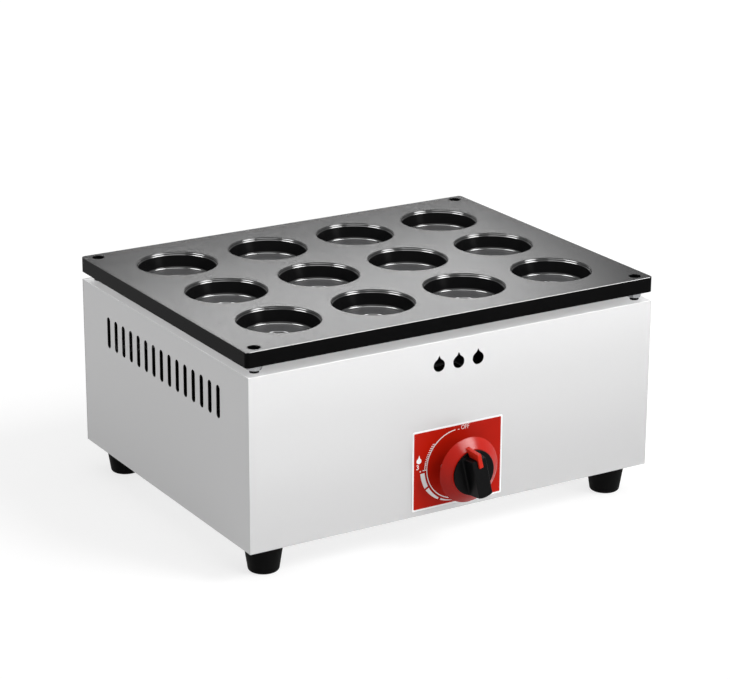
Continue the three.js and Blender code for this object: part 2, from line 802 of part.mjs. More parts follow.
function valvePlug() {
  const taper = turned(
    [[0, plugBottom], [plugBottomRadius, plugBottom], [plugTopRadius, plugTop], [0, plugTop]],
    midSides,
  );
  const [w, t] = [tangWidth / 2 + fit, tangThickness / 2 + fit];
  const socket = block([-w, -t, plugTop - plugSocketDepth], [w, t, plugTop + past]);
  const foot = bar(gasPassage, plugBottom - past, plugTop - plugSocketDepth + past, coarseSides);
  const side = facingSide(bar(gasPassage, 0, plugTopRadius + past, coarseSides));
  return cut(taper, socket, foot, side.translate([0, 0, -portDepth]));
}
place('valve_plug', valvePlug(), 'brass', knob);

// Return spring, coiled round the spindle between its collar and the plug
class Coil extends THREE.Curve {
  constructor(radius, turns, z0, z1) {
    super();
    Object.assign(this, { radius, turns, z0, z1 });
  }

  getPoint(t, target = new THREE.Vector3()) {
    const angle = 2 * Math.PI * this.turns * t;
    const z = this.z0 + (this.z1 - this.z0) * t;
    return target.set(this.radius * Math.cos(angle), this.radius * Math.sin(angle), z);
  }
}

const springEnds = springWire / 2 + fit;
const springPath = new Coil(springRadius, springTurns, plugTop + springEnds, collarBottom - springEnds);
const spring = swept(springPath, springWire / 2, 0, springTurns * screwSides, wireSides);
place('return_spring', spring, 'zincSteel', knob);

// Bonnet: a cap with two ears that screws hold to the front panel
const bonnetTop = -sheet - fit;

function valveBonnet() {
  const ears = raised(
    roundedRectangle(bonnetEarLength, bonnetEarWidth, bonnetEarWidth / 2),
    bonnetTop - bonnetFlange,
    bonnetTop,
  );
  let bonnet = join(ears, bar(bonnetRadius, -bonnetDepth, bonnetTop, fineSides));
  bonnet = cut(bonnet, bar(bonnetBore, -bonnetDepth - past, bonnetTop - bonnetRoof, midSides));
  bonnet = cut(bonnet, bar(shaftHole, bonnetTop - bonnetRoof - past, bonnetTop + past, midSides));
  const earFoot = bonnetTop - bonnetFlange;
  const hole = bar(valveScrewRadius + fit, earFoot - past, bonnetTop + past, coarseSides);
  for (const side of [-1, 1]) bonnet = cut(bonnet, hole.translate([side * valveScrewSpread, 0, 0]));
  return bonnet;
}
place('valve_bonnet', valveBonnet(), 'brass', control);

const valveScrewLength = sheet + 2 * fit + bonnetFlange + threadEnd;
const valveScrew = geometryOf(
  turnX(uprightScrew(valveScrewRadius, valveScrewHead, valveScrewHeadHeight, valveScrewLength), 180),
);
[-1, 1].forEach((side, i) => {
  place(`valve_screw_${i + 1}`, valveScrew, 'zincSteel', control, [side * valveScrewSpread, 0, fit]);
});

// Valve body: tapered seat for the plug, side port for the supply, end thread for the jet
function valveBody() {
  const top = -bonnetDepth - fit;
  const shell = bar(valveRadius, -valveDepth, top, fineSides);
  const sidePort = facingSide(bar(portRadius, 0, portReach, midSides)).translate([0, 0, -portDepth]);
  const seat = turned(
    [
      [0, plugBottom - fit],
      [plugBottomRadius + fit, plugBottom - fit],
      [plugTopRadius + fit, plugTop],
      [plugTopRadius + fit, top + past],
      [0, top + past],
    ],
    midSides,
  );
  const supply = facingSide(
    join(
      bar(gasPassage, 0, portReach, coarseSides),
      bar(pipeRadius + fit, portReach - pipeSocket, portReach + past, coarseSides),
    ),
  ).translate([0, 0, -portDepth]);
  const jetHole = bar(jetThread + fit, -valveDepth - past, plugBottom, midSides);
  return cut(join(shell, sidePort), seat, supply, jetHole);
}
place('valve_body', valveBody(), 'brass', control);

function jet() {
  const hexTop = -valveDepth - fit;
  const hexBottom = hexTop - jetHexHeight;
  const shank = turned(
    [
      [0, hexBottom - jetConeLength],
      [jetTipRadius, hexBottom - jetConeLength],
      [jetThread, hexBottom],
      [jetThread, plugBottom - 2 * fit],
      [0, plugBottom - 2 * fit],
    ],
    coarseSides,
  );
  const way = bar(jetBore, hexBottom - jetConeLength - past, past, coarseSides);
  return cut(join(shank, hexagon(jetHexRadius, hexBottom, hexTop)), way);
}
place('gas_jet', jet(), 'brass', control);

// Spark igniter, clamped to the side of the valve
const igniterRight = -valveRadius - fit;
const igniterBox = block(
  [igniterRight - igniterLength, -igniterHeight / 2, -portDepth - igniterDepth / 2],
  [igniterRight, igniterHeight / 2, igniterDepth / 2 - portDepth],
);
place('spark_igniter', igniterBox, 'blackPlastic', control);

// Mixing tube: a mouth with air windows round the jet, then a pipe that turns up into the header
const mouthY = frontFace + mouthStart;
const headerBottom = headerHeight - headerRadius;

// A path with a straight, a round quarter bend and a straight, stepped finely in the bend alone.
class BentPath extends THREE.Curve {
  constructor(start, corner, end, bend) {
    super();
    this.start = new THREE.Vector3(...start);
    this.corner = new THREE.Vector3(...corner);
    this.end = new THREE.Vector3(...end);
    this.into = this.start.clone().sub(this.corner).setLength(bend);
    this.out = this.end.clone().sub(this.corner).setLength(bend);
    this.steps = bendSteps + 2;
  }

  getUtoTmapping(u) {
    return u;
  }

  getPoint(t, target = new THREE.Vector3()) {
    const step = t * this.steps;
    const bendShare = (step - 1) / (this.steps - 2);
    target.copy(this.corner);
    if (bendShare < 0) return target.add(this.into).lerp(this.start, 1 - step);
    if (bendShare > 1) return target.add(this.out).lerp(this.end, step - this.steps + 1);
    const angle = (bendShare * Math.PI) / 2;
    target.addScaledVector(this.into, 1 - Math.sin(angle));
    return target.addScaledVector(this.out, 1 - Math.cos(angle));
  }
}

// Windows through a wall round the Z axis, between two heights.
function windows(z0, z1, radius) {
  const [half, far] = [windowWidth / 2, radius + past];
  const pair = block([-far, -half, z0], [far, half, z1]);
  const spread = 180 / (windowCount / 2);
  let cutter = pair;
  for (let i = 1; i < windowCount / 2; i += 1) cutter = cutter.add(pair.rotate([0, 0, i * spread]));
  return cutter;
}

const mouthEnd = mouthLength + mouthTaper;
const windowStart = tubeWall + windowSetback;
const windowEnd = windowStart + windowLength;

function mixingTube() {
  const mouth = turned(
    [
      [jetThread + fit, 0],
      [mouthRadius, 0],
      [mouthRadius, mouthLength],
      [mixerRadius, mouthEnd],
      [mixerRadius - tubeWall, mouthEnd],
      [mouthRadius - tubeWall, mouthLength],
      [mouthRadius - tubeWall, tubeWall],
      [jetThread + fit, tubeWall],
    ],
    fineSides,
  );
  const open = cut(mouth, windows(windowStart, windowEnd, mouthRadius));
  const stood = turnX(open, -90).translate([0, mouthY, knobLevel]);
  const path = new BentPath(
    [0, mouthY + mouthEnd - tubeWall / 2, knobLevel],
    [0, 0, knobLevel],
    [0, 0, headerBottom + mixerBite],
    mixerBend,
  );
  const pipe = swept(path, mixerRadius, mixerRadius - tubeWall, path.steps, coarseSides);
  return join(stood, pipe);
}
place('mixing_tube', mixingTube(), 'burnerSteel');

// Air shutter: a sleeve with the same windows, turned part of the way over them by its tab
function airShutter() {
  const [z0, z1] = [windowStart - shutterMargin, windowEnd + shutterMargin];
  const bore = mouthRadius + fit;
  const outside = bore + tubeWall;
  const sleeve = turned([[bore, z0], [outside, z0], [outside, z1], [bore, z1]], fineSides);
  const half = tubeWall / 2;
  const tab = block([-half, bore + half, z0], [half, bore + shutterTab, z0 + shutterTab]);
  const turn = 180 / windowCount;
  return join(cut(sleeve, windows(windowStart, windowEnd, outside)), tab.rotate([0, 0, turn]));
}
const shutterAxis = new THREE.Group();
shutterAxis.position.set(0, mouthY, knobLevel);
shutterAxis.rotation.x = -Math.PI / 2;
machine.add(shutterAxis);
const shutter = place('air_shutter', airShutter(), 'zincSteel', shutterAxis);
shutter.rotation.z = THREE.MathUtils.degToRad(shutterTurned);

// Header: a closed pipe along X that feeds the four burners, one under each column, through spigots
const spigotTop = burnerLevel - burnerRadius + headerBite;

function burnerHeader() {
  const insideHalf = headerHalf - tubeWall;
  const shell = facingSide(bar(headerRadius, -headerHalf, headerHalf, coarseSides));
  const hollow = facingSide(bar(headerRadius - tubeWall, -insideHalf, insideHalf, coarseSides));
  const spigots = cupXs.map((x) => upright(x, 0, spigotRadius, 0, spigotTop - headerHeight));
  const ways = cupXs.map((x) =>
    upright(x, 0, spigotRadius - tubeWall, 0, spigotTop - headerHeight + past),
  );
  const inlet = upright(0, 0, mixerRadius + fit, -headerRadius - past, 0);
  return cut(join(shell, ...spigots), hollow, ...ways, inlet).translate([0, 0, headerHeight]);
}
place('burner_header', burnerHeader(), 'burnerSteel');

// Burner tube: closed at both ends, slotted along its top, with a hole for its spigot
function burnerTube() {
  const along = (made) => turnX(made, -90);
  const insideHalf = burnerHalf - tubeWall;
  const shell = along(bar(burnerRadius, -burnerHalf, burnerHalf, midSides));
  const hollow = along(bar(burnerRadius - tubeWall, -insideHalf, insideHalf, coarseSides));
  const entry = upright(0, 0, spigotRadius + fit, -burnerRadius - past, 0);
  let tube = cut(shell, hollow, entry);
  const [w, l] = [portSlotWidth / 2, portSlotLength / 2];
  const slot = block([-l, -w, burnerRadius / 2], [l, w, burnerRadius + past]);
  for (let i = 0; i < portSlotCount; i += 1) {
    tube = cut(tube, slot.translate([0, (i - (portSlotCount - 1) / 2) * portSlotPitch, 0]));
  }
  return tube;
}
const burnerGeometry = geometryOf(burnerTube());
cupXs.forEach((x, i) => {
  place(`burner_tube_${i + 1}`, burnerGeometry, 'burnerSteel', machine, [x, 0, burnerLevel]);
});

// Rails: folded angles across the housing that carry the burners, welded to the sides
const railHalf = bodyLength / 2 - sheet - fit;
const electrodeX = cupXs[1] + burnerRadius + electrodeGap;
const electrodeY = -railY;

function burnerRail(side) {
  const [y, w, x] = [side * railY, railWidth / 2, railHalf];
  const leaf = block([-x, y - w, railTop - railSheet], [x, y + w, railTop]);
  const outer = y + side * w;
  const inner = outer - side * railSheet;
  const web = block(
    [-x, Math.min(outer, inner), railTop - railDrop],
    [x, Math.max(outer, inner), railTop],
  );
  const tab = (x0) => block([x0, y - w, railTop - railTab], [x0 + railSheet, y + w, railTop]);
  return join(leaf, web, tab(-x), tab(x - railSheet));
}
const electrodeHole = upright(
  electrodeX,
  electrodeY,
  ceramicRadius + fit,
  railTop - railSheet - past,
  railTop + past,
);
place('burner_rail_front', cut(burnerRail(-1), electrodeHole), 'stainless');
place('burner_rail_rear', burnerRail(1), 'stainless');

// Ignition electrode: a ceramic sleeve with a collar on the front rail, and its steel pin
const ceramicFoot = railTop - railSheet - ceramicBelow;

function electrode() {
  const top = railTop + ceramicAbove;
  const collarZ = railTop + fit;
  return turned(
    [
      [0, ceramicFoot],
      [ceramicRadius, ceramicFoot],
      [ceramicRadius, collarZ],
      [ceramicCollar, collarZ],
      [ceramicCollar, collarZ + ceramicCollarHeight],
      [ceramicRadius, collarZ + ceramicCollarHeight],
      [ceramicRadius, top],
      [electrodePin, top],
      [electrodePin, top + electrodePinLength],
      [0, top + electrodePinLength],
    ],
    coarseSides,
  );
}
place('ignition_electrode', electrode(), 'ceramic', machine, [electrodeX, electrodeY, 0]);

// Lead from the igniter's top up to the electrode's foot
const igniterX = igniterRight - igniterLength / 2;
const igniterY = frontFace + portDepth;
const leadStart = new THREE.Vector3(igniterX, igniterY, knobLevel + igniterHeight / 2 + fit);
const leadEnd = new THREE.Vector3(electrodeX, electrodeY, ceramicFoot - fit);
const leadPath = new THREE.CubicBezierCurve3(
  leadStart,
  leadStart.clone().add(new THREE.Vector3(0, 0, leadRise)),
  leadEnd.clone().sub(new THREE.Vector3(0, 0, leadRise)),
  leadEnd,
);
place('ignition_lead', swept(leadPath, leadRadius, 0, leadSteps, screwSides), 'leadSheath');

// Gas inlet: a hose nozzle through the rear panel, its locknut, and the pipe to the valve
const inlet = new THREE.Group();
inlet.position.set(inletX, rearFace, knobLevel);
inlet.rotation.x = -Math.PI / 2;
machine.add(inlet);

function hoseNozzle() {
  const barbsStart = reach - barbCount * barbPitch;
  const profile = [
    [0, -nozzleInside],
    [nozzleThreadRadius, -nozzleInside],
    [nozzleThreadRadius, nozzleHexHeight / 2],
    [barbNeck, nozzleHexHeight / 2],
    [barbNeck, barbsStart],
  ];
  for (let i = 0; i < barbCount; i += 1) {
    const z = barbsStart + i * barbPitch;
    profile.push([barbRadius, z], [barbNeck, z + barbPitch]);
  }
  profile.push([0, reach]);
  const body = join(turned(profile, coarseSides), hexagon(nozzleHexRadius, fit, nozzleHexHeight));
  const bore = bar(pipeBore, -nozzleInside, reach + past, coarseSides);
  const socket = bar(pipeRadius + fit, -nozzleInside - past, pipeSocket - nozzleInside, coarseSides);
  return cut(body, bore, socket);
}
place('hose_nozzle', hoseNozzle(), 'brass', inlet);
place(
  'nozzle_locknut',
  nut(locknutRadius, locknutHeight, nozzleThreadRadius),
  'brass',
  inlet,
  [0, 0, -sheet - fit - locknutHeight],
);

function supplyPipe() {
  const valveY = frontFace + portDepth;
  const start = [inletX, rearFace - nozzleInside + pipeSocket - fit, knobLevel];
  const corner = [inletX, valveY, knobLevel];
  const end = [portReach - pipeSocket + fit, valveY, knobLevel];
  const path = new BentPath(start, corner, end, pipeBend);
  return swept(path, pipeRadius, pipeBore, path.steps, screwSides);
}
place('supply_pipe', supplyPipe(), 'burnerSteel');

export default machine;
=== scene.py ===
import json
import math

import bmesh
import bpy
from mathutils import Matrix, Vector

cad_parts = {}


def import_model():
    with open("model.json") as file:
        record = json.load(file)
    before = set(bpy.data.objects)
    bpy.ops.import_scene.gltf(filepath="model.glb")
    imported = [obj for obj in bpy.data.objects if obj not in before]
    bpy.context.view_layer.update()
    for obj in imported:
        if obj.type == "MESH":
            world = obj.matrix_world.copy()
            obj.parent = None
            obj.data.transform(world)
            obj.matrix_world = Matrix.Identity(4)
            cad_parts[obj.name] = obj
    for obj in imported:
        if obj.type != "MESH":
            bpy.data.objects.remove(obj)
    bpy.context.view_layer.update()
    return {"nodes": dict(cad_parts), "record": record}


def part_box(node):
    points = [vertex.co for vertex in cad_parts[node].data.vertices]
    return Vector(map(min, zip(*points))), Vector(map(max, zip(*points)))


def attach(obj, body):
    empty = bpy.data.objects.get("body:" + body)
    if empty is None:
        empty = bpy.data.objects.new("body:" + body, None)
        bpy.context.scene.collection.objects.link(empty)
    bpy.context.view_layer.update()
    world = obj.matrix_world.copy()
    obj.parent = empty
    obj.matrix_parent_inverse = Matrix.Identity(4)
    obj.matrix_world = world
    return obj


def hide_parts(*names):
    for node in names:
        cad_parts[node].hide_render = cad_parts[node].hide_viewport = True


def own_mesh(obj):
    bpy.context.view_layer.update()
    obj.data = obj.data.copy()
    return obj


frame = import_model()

scene = bpy.context.scene
MM = 0.001

# Camera, fitted to the photograph
CAMERA_AT = Vector((-1.2404, -2.0518, 0.9605))
CAMERA_FORWARD = Vector((0.49056, 0.81027, -0.32064))
CAMERA_ROLL = math.radians(0.219)
CAMERA_LENS = 125.85
SENSOR_WIDTH = 36
CLIP_NEAR = 0.05
CLIP_FAR = 50


def make_camera():
    forward = CAMERA_FORWARD.normalized()
    level_right = forward.cross(Vector((0, 0, 1))).normalized()
    level_up = level_right.cross(forward)
    right = level_right * math.cos(CAMERA_ROLL) + level_up * math.sin(CAMERA_ROLL)
    up = right.cross(forward)
    data = bpy.data.cameras.new("camera")
    data.lens = CAMERA_LENS
    data.sensor_width = SENSOR_WIDTH
    data.clip_start = CLIP_NEAR
    data.clip_end = CLIP_FAR
    camera = bpy.data.objects.new("camera", data)
    axes = Matrix((right, up, -forward)).transposed().to_4x4()
    camera.matrix_world = Matrix.Translation(CAMERA_AT) @ axes
    scene.collection.objects.link(camera)
    scene.camera = camera


make_camera()

# Sizes that the frame's boxes don't give, in metres. PAST is how far a cutter reaches past what it cuts
SHEET = 1 * MM
BEND = 0.3 * MM
FLANGE = 38 * MM
REAR_LIP = 14 * MM
VENTS = 15
VENT_PITCH = 16.3 * MM
VENT_LENGTH = 32 * MM
VENT_WIDTH = 7 * MM
VENT_BELOW_TOP = 24 * MM
DROP_PITCH = 21.65 * MM
DROP_WIDTH = 12.4 * MM
DROP_HEIGHT = 15.9 * MM
DROP_BELOW_TOP = 13.9 * MM
DROP_NIB = 3 * MM
DROP_NECK = 1.5 * MM
PAST = 2 * MM

PLATE_THICKNESS = 15.2 * MM
PLATE_EDGE = 0.45 * MM
PLATE_CORNER = 4 * MM
PLATE_SKIN = 5 * MM
PLATE_RIM = 7 * MM
CUP_PITCH = 102 * MM
CUP_COLUMNS = 4
CUP_ROWS = 3
SCREW_X = 211 * MM
SCREW_Y = 160.5 * MM
COUNTERBORE = 6 * MM
COUNTERBORE_DEPTH = 9 * MM
BOSS = 10 * MM
PLATE_SCREW_HOLE = 3.3 * MM
FOOT_SCREW_HOLE = 2.8 * MM
REAR_SCREW_HOLE = 2.2 * MM
REAR_SCREW_INSET = 26 * MM
REAR_GAP = 0.3 * MM
REAR_BEND = 0.35 * MM
SPINDLE_HOLE = 7.8 * MM
NOZZLE_HOLE = 7.3 * MM
VALVE_SCREW_X = 15 * MM
VALVE_SCREW_HOLE = 2.2 * MM
VALVE_HEAD_HOLE = 3.7 * MM
LABEL_BORE = 9 * MM
# Numbers of sides of the turned pieces
VERY_FINE = 128
FINE = 96
MEDIUM = 48
COARSE = 24

wrap_low, wrap_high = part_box("housing_wrap")
plate_low, plate_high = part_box("baking_plate")
skirt_low, skirt_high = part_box("knob_skirt")
label_low, label_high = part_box("control_label")
rear_low, rear_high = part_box("rear_panel")
FRONT = wrap_low.y
BODY_BOTTOM = wrap_low.z
BODY_TOP = wrap_high.z
KNOB_LEVEL = (skirt_low.z + skirt_high.z) / 2
PLATE_TOP = plate_high.z
PLATE_BOTTOM = PLATE_TOP - PLATE_THICKNESS


# Materials
def node_material(name, color, roughness, metallic=0.0):
    material = bpy.data.materials.new(name)
    material.use_nodes = True
    shader = material.node_tree.nodes["Principled BSDF"]
    shader.inputs["Base Color"].default_value = (*color, 1)
    shader.inputs["Roughness"].default_value = roughness
    shader.inputs["Metallic"].default_value = metallic
    return material, shader


def object_coordinates(material, stretch=(1, 1, 1)):
    nodes, links = material.node_tree.nodes, material.node_tree.links
    source = nodes.new("ShaderNodeTexCoord")
    mapping = nodes.new("ShaderNodeMapping")
    mapping.inputs["Scale"].default_value = stretch
    links.new(source.outputs["Object"], mapping.inputs["Vector"])
    return mapping.outputs["Vector"]


def noise_texture(material, vector, scale, detail=3.0, rough=0.5):
    texture = material.node_tree.nodes.new("ShaderNodeTexNoise")
    texture.inputs["Scale"].default_value = scale
    texture.inputs["Detail"].default_value = detail
    texture.inputs["Roughness"].default_value = rough
    material.node_tree.links.new(vector, texture.inputs["Vector"])
    return texture.outputs["Fac"]


def ranged(material, value, low, high, from_low=0.35, from_high=0.65):
    scale = material.node_tree.nodes.new("ShaderNodeMapRange")
    scale.inputs["From Min"].default_value = from_low
    scale.inputs["From Max"].default_value = from_high
    scale.inputs["To Min"].default_value = low
    scale.inputs["To Max"].default_value = high
    material.node_tree.links.new(value, scale.inputs["Value"])
    return scale.outputs["Result"]


def blend_colors(material, value, first, second, from_low=0.35, from_high=0.65):
    ramp = material.node_tree.nodes.new("ShaderNodeValToRGB")
    ramp.color_ramp.elements[0].position = from_low
    ramp.color_ramp.elements[0].color = (*first, 1)
    ramp.color_ramp.elements[1].position = from_high
    ramp.color_ramp.elements[1].color = (*second, 1)
    material.node_tree.links.new(value, ramp.inputs["Fac"])
    return ramp.outputs["Color"]


def add_bump(material, shader, height, strength, distance):
    bump = material.node_tree.nodes.new("ShaderNodeBump")
    bump.inputs["Strength"].default_value = strength
    bump.inputs["Distance"].default_value = distance
    material.node_tree.links.new(height, bump.inputs["Height"])
    material.node_tree.links.new(bump.outputs["Normal"], shader.inputs["Normal"])


def shaded(color, factor):
    return tuple(channel * factor for channel in color)


def surface(name, color, roughness, metallic=0.0, gloss=0.5, spread=0.06, tint=0.06, scale=60,
            grain=900, bump=0.15, depth=0.02 * MM, stretch=(1, 1, 1)):
    """A material whose colour and roughness vary a little, with a fine grain in its relief."""
    material, shader = node_material(name, color, roughness, metallic)
    shader.inputs["Specular IOR Level"].default_value = gloss
    links = material.node_tree.links
    vector = object_coordinates(material, stretch)
    broad = noise_texture(material, vector, scale)
    fine = noise_texture(material, vector, grain, 2.0)
    colors = blend_colors(material, broad, shaded(color, 1 - tint), shaded(color, 1 + tint))
    links.new(colors, shader.inputs["Base Color"])
    links.new(ranged(material, broad, roughness - spread, roughness + spread), shader.inputs["Roughness"])
    add_bump(material, shader, fine, bump, depth)
    return material


materials = {
    "stainless": surface("satin_stainless", (0.55, 0.55, 0.553), 0.50, 0.6, spread=0.03, tint=0.01, scale=3,
                         grain=420, bump=0.05, depth=0.01 * MM, stretch=(0.12, 1, 6)),
    "coated_casting": surface("coated_casting", (0.002, 0.002, 0.0021), 0.22, gloss=0.023, spread=0.006,
                              tint=0.1, scale=120, grain=1500, bump=0.1),
    "foot_rubber": surface("foot_rubber", (0.003, 0.003, 0.003), 0.6, gloss=0.04, grain=1800, bump=0.3),
    "zinc_steel": surface("zinc_steel", (0.34, 0.345, 0.355), 0.28, 1.0, grain=700, bump=0.08),
    "black_screw": surface("black_screw", (0.003, 0.003, 0.0035), 0.42, gloss=0.05),
    "knob_red": surface("knob_red", (0.26, 0.006, 0.0025), 0.24, gloss=0.15, spread=0.02, tint=0.03,
                        grain=1400, bump=0.06),
    "knob_black": surface("knob_black", (0.003, 0.003, 0.0033), 0.30, gloss=0.07, spread=0.02, grain=1400,
                          bump=0.08),
    "label_red": surface("label_red", (0.45, 0.010, 0.003), 0.30, gloss=0.07, spread=0.02, tint=0.02,
                         bump=0.03),
    "brass": surface("machined_brass", (0.62, 0.43, 0.16), 0.25, 1.0, spread=0.04, tint=0.05, grain=500,
                     bump=0.05),
    "burner_steel": surface("burner_steel", (0.06, 0.06, 0.062), 0.5, 0.6, spread=0.1, tint=0.2, scale=25),
    "ceramic": surface("glazed_ceramic", (0.85, 0.82, 0.76), 0.18, spread=0.03, tint=0.02),
    "lead_sheath": surface("lead_sheath", (0.75, 0.72, 0.66), 0.5, tint=0.04),
}
# A lighter, matter copy of the plate's coating for the level cup floors: painted light, standing in for the
# light they catch from above
painted_light_floor = surface("painted_light_floor_coating", (0.015, 0.015, 0.0154), 0.42, gloss=0.11, tint=0.15, scale=240,
                    grain=1500, bump=0.2)
lip_coating = surface("lip_coating", (0.002, 0.002, 0.0021), 0.16, gloss=0.5, spread=0.02, tint=0.1,
                      scale=120, grain=1500, bump=0.1)
# Near-black steel for the inner faces of the housing and the cut edges of its holes: painted shade, not the
# sheet's own colour
painted_shade_inside = surface("painted_shade_steel", (0.012, 0.012, 0.012), 0.6, gloss=0.08, tint=0.2, scale=30)
label_white = surface("label_white", (0.9, 0.9, 0.9), 0.35, gloss=0.2, spread=0.02, tint=0.01, bump=0.03)
pointer_red = surface("pointer_red", (0.58, 0.020, 0.008), 0.32, gloss=0.12, spread=0.02, tint=0.02,
                      bump=0.05)


# Mesh tools
def mesh_object(name, mesh):
    piece = bpy.data.objects.new(name, mesh)
    scene.collection.objects.link(piece)
    return piece


def from_bmesh(name, bm):
    bmesh.ops.recalc_face_normals(bm, faces=bm.faces)
    mesh = bpy.data.meshes.new(name)
    bm.to_mesh(mesh)
    bm.free()
    return mesh_object(name, mesh)


def applied(piece):
    """Bakes the modifiers of a piece into its mesh."""
    graph = bpy.context.evaluated_depsgraph_get()
    mesh = bpy.data.meshes.new_from_object(piece.evaluated_get(graph))
    piece.modifiers.clear()
    piece.data = mesh
    return piece


def combine(piece, other, operation="DIFFERENCE"):
    boolean = piece.modifiers.new("boolean", "BOOLEAN")
    boolean.solver = "EXACT"
    boolean.operation = operation
    boolean.object = other
    applied(piece)
    bpy.data.objects.remove(other)
    return piece


def rounded(piece, width, segments=3, angle=30):
    bevel = piece.modifiers.new("bevel", "BEVEL")
    bevel.width = width
    bevel.segments = segments
    bevel.limit_method = "ANGLE"
    bevel.angle_limit = math.radians(angle)
    bevel.harden_normals = False
    return applied(piece)


def smooth(piece, angle=35):
    mesh = piece.data
    mesh.polygons.foreach_set("use_smooth", [True] * len(mesh.polygons))
    mesh.set_sharp_from_angle(angle=math.radians(angle))
    weighted = piece.modifiers.new("weighted", "WEIGHTED_NORMAL")
    weighted.keep_sharp = True
    weighted.weight = 80
    return applied(piece)


def finish_piece(piece, body, slot, *nodes, material=None):
    piece.data.materials.clear()
    piece.data.materials.append(material or materials[slot])
    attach(piece, body)
    if nodes:
        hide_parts(*nodes)
    return piece


def block(name, low, high):
    bm = bmesh.new()
    bmesh.ops.create_cube(bm, size=1)
    size = Vector(high) - Vector(low)
    middle = (Vector(high) + Vector(low)) / 2
    bmesh.ops.scale(bm, vec=size, verts=bm.verts)
    bmesh.ops.translate(bm, vec=middle, verts=bm.verts)
    return from_bmesh(name, bm)


def lathe(name, profile, segments=FINE):
    """A closed or axis-to-axis profile of (radius, height), turned about Z."""
    bm = bmesh.new()
    rings = []
    for radius, height in profile:
        if radius < 1e-9:
            rings.append([bm.verts.new((0, 0, height))] * segments)
            continue
        turn = [2 * math.pi * i / segments for i in range(segments)]
        rings.append([bm.verts.new((radius * math.cos(a), radius * math.sin(a), height)) for a in turn])
    closed = profile[0][0] > 1e-9
    pairs = list(zip(rings, rings[1:]))
    if closed:
        pairs.append((rings[-1], rings[0]))
    for lower, upper in pairs:
        for i in range(segments):
            j = (i + 1) % segments
            corner = [lower[i], lower[j], upper[j], upper[i]]
            unique = list(dict.fromkeys(corner))
            if len(unique) > 2:
                bm.faces.new(unique)
    return from_bmesh(name, bm)


def post(radius, low, high, segments=MEDIUM):
    """A round bar about Z from one height to another, to cut a hole with or to join on."""
    return lathe("post", [(0, low), (radius, low), (radius, high), (0, high)], segments)


def prism(name, outline, low, high):
    """An outline in XY raised from one height to another."""
    bm = bmesh.new()
    bottom = [bm.verts.new((x, y, low)) for x, y in outline]
    top = [bm.verts.new((x, y, high)) for x, y in outline]
    bm.faces.new(bottom)
    bm.faces.new(top)
    for i in range(len(outline)):
        j = (i + 1) % len(outline)
        bm.faces.new((bottom[i], bottom[j], top[j], top[i]))
    return from_bmesh(name, bm)


def loft(name, rings):
    """Rings of equally many points, joined and closed at both ends."""
    bm = bmesh.new()
    made = [[bm.verts.new(point) for point in ring] for ring in rings]
    count = len(rings[0])
    for lower, upper in zip(made, made[1:]):
        for i in range(count):
            j = (i + 1) % count
            bm.faces.new((lower[i], lower[j], upper[j], upper[i]))
    bm.faces.new(made[0])
    bm.faces.new(made[-1])
    return from_bmesh(name, bm)


def moved(piece, matrix):
    piece.data.transform(matrix)
    return piece


def joined(name, pieces):
    """Several meshes in one object."""
    bm = bmesh.new()
    for piece in pieces:
        bm.from_mesh(piece.data)
        bpy.data.objects.remove(piece)
    return from_bmesh(name, bm)


def repeated(name, piece, places):
    """Copies of a piece at several places, in one object."""
    bm = bmesh.new()
    for place in places:
        mesh = piece.data.copy()
        mesh.transform(Matrix.Translation(place))
        bm.from_mesh(mesh)
    bpy.data.objects.remove(piece)
    return from_bmesh(name, bm)


def arc(cx, cy, radius, start, end, steps):
    angles = [math.radians(start + (end - start) * i / steps) for i in range(steps + 1)]
    return [(cx + radius * math.cos(a), cy + radius * math.sin(a)) for a in angles]


def corner_places(x, y):
    return [(-x, -y), (x, -y), (x, y), (-x, y)]


# Turns local Z to point out of the front panel and local Y to point up
FACING_FRONT = Matrix.Rotation(math.pi / 2, 4, "X")
# Turns local Z to point out of the rear panel
FACING_REAR = Matrix.Rotation(-math.pi / 2, 4, "X")
# Turns local X to Y, Y to Z and Z to X
FACING_SIDE = Matrix.Rotation(math.pi / 2, 4, "Z") @ FACING_FRONT
CONTROL = Matrix.Translation((0, FRONT, KNOB_LEVEL)) @ FACING_FRONT
KNOB_TURNED = math.radians(13)
KNOB = CONTROL @ Matrix.Rotation(KNOB_TURNED, 4, "Z")


# Baking plate
# A cup from above its lip to the middle of its floor: radius and height from the plate's top, in millimetres
CUP_PROFILE = [
    (40.5, 2), (40.5, 0.02), (40.3, -0.04), (40.18, -0.2), (40.08, -0.8), (40.0, -0.94),
    (39.62, -1.32), (39.54, -1.46), (39.34, -2.44), (39.26, -2.6), (38.8, -3.06), (38.64, -3.28),
    (38.5, -3.7), (35.8, -13.8),
    (35.5, -14.8), (34.9, -15.55), (34.1, -16.0), (33.2, -16.15), (32.2, -16.2), (14.2, -16.2),
    (13.8, -16.27), (13.6, -16.45), (13.4, -16.63), (13.0, -16.7), (0, -16.7),
]
CUP_DEPTH = 16.7 * MM
CUP_WALL = 3.6 * MM
BOWL_TOP = 4 * MM
HOLE_ROUND = 0.4 * MM
# Where the plate's coats and the painted light on its cup floors lie: depths under its top, and least upward
# parts of the faces' normals
SCREW_CLEARANCE = 2 * MM
LIP_DEPTHS = (0.02 * MM, 3 * MM)
FILLET_DEPTHS = (14 * MM, 17 * MM)
FLOOR_DEPTHS = (15.5 * MM, 17 * MM)
LEVEL_FACE = 0.95
RISING_FACE = 0.05


def cup_places():
    xs = [(i - (CUP_COLUMNS - 1) / 2) * CUP_PITCH for i in range(CUP_COLUMNS)]
    ys = [(j - (CUP_ROWS - 1) / 2) * CUP_PITCH for j in range(CUP_ROWS)]
    return [(x, y, PLATE_TOP) for x in xs for y in ys]


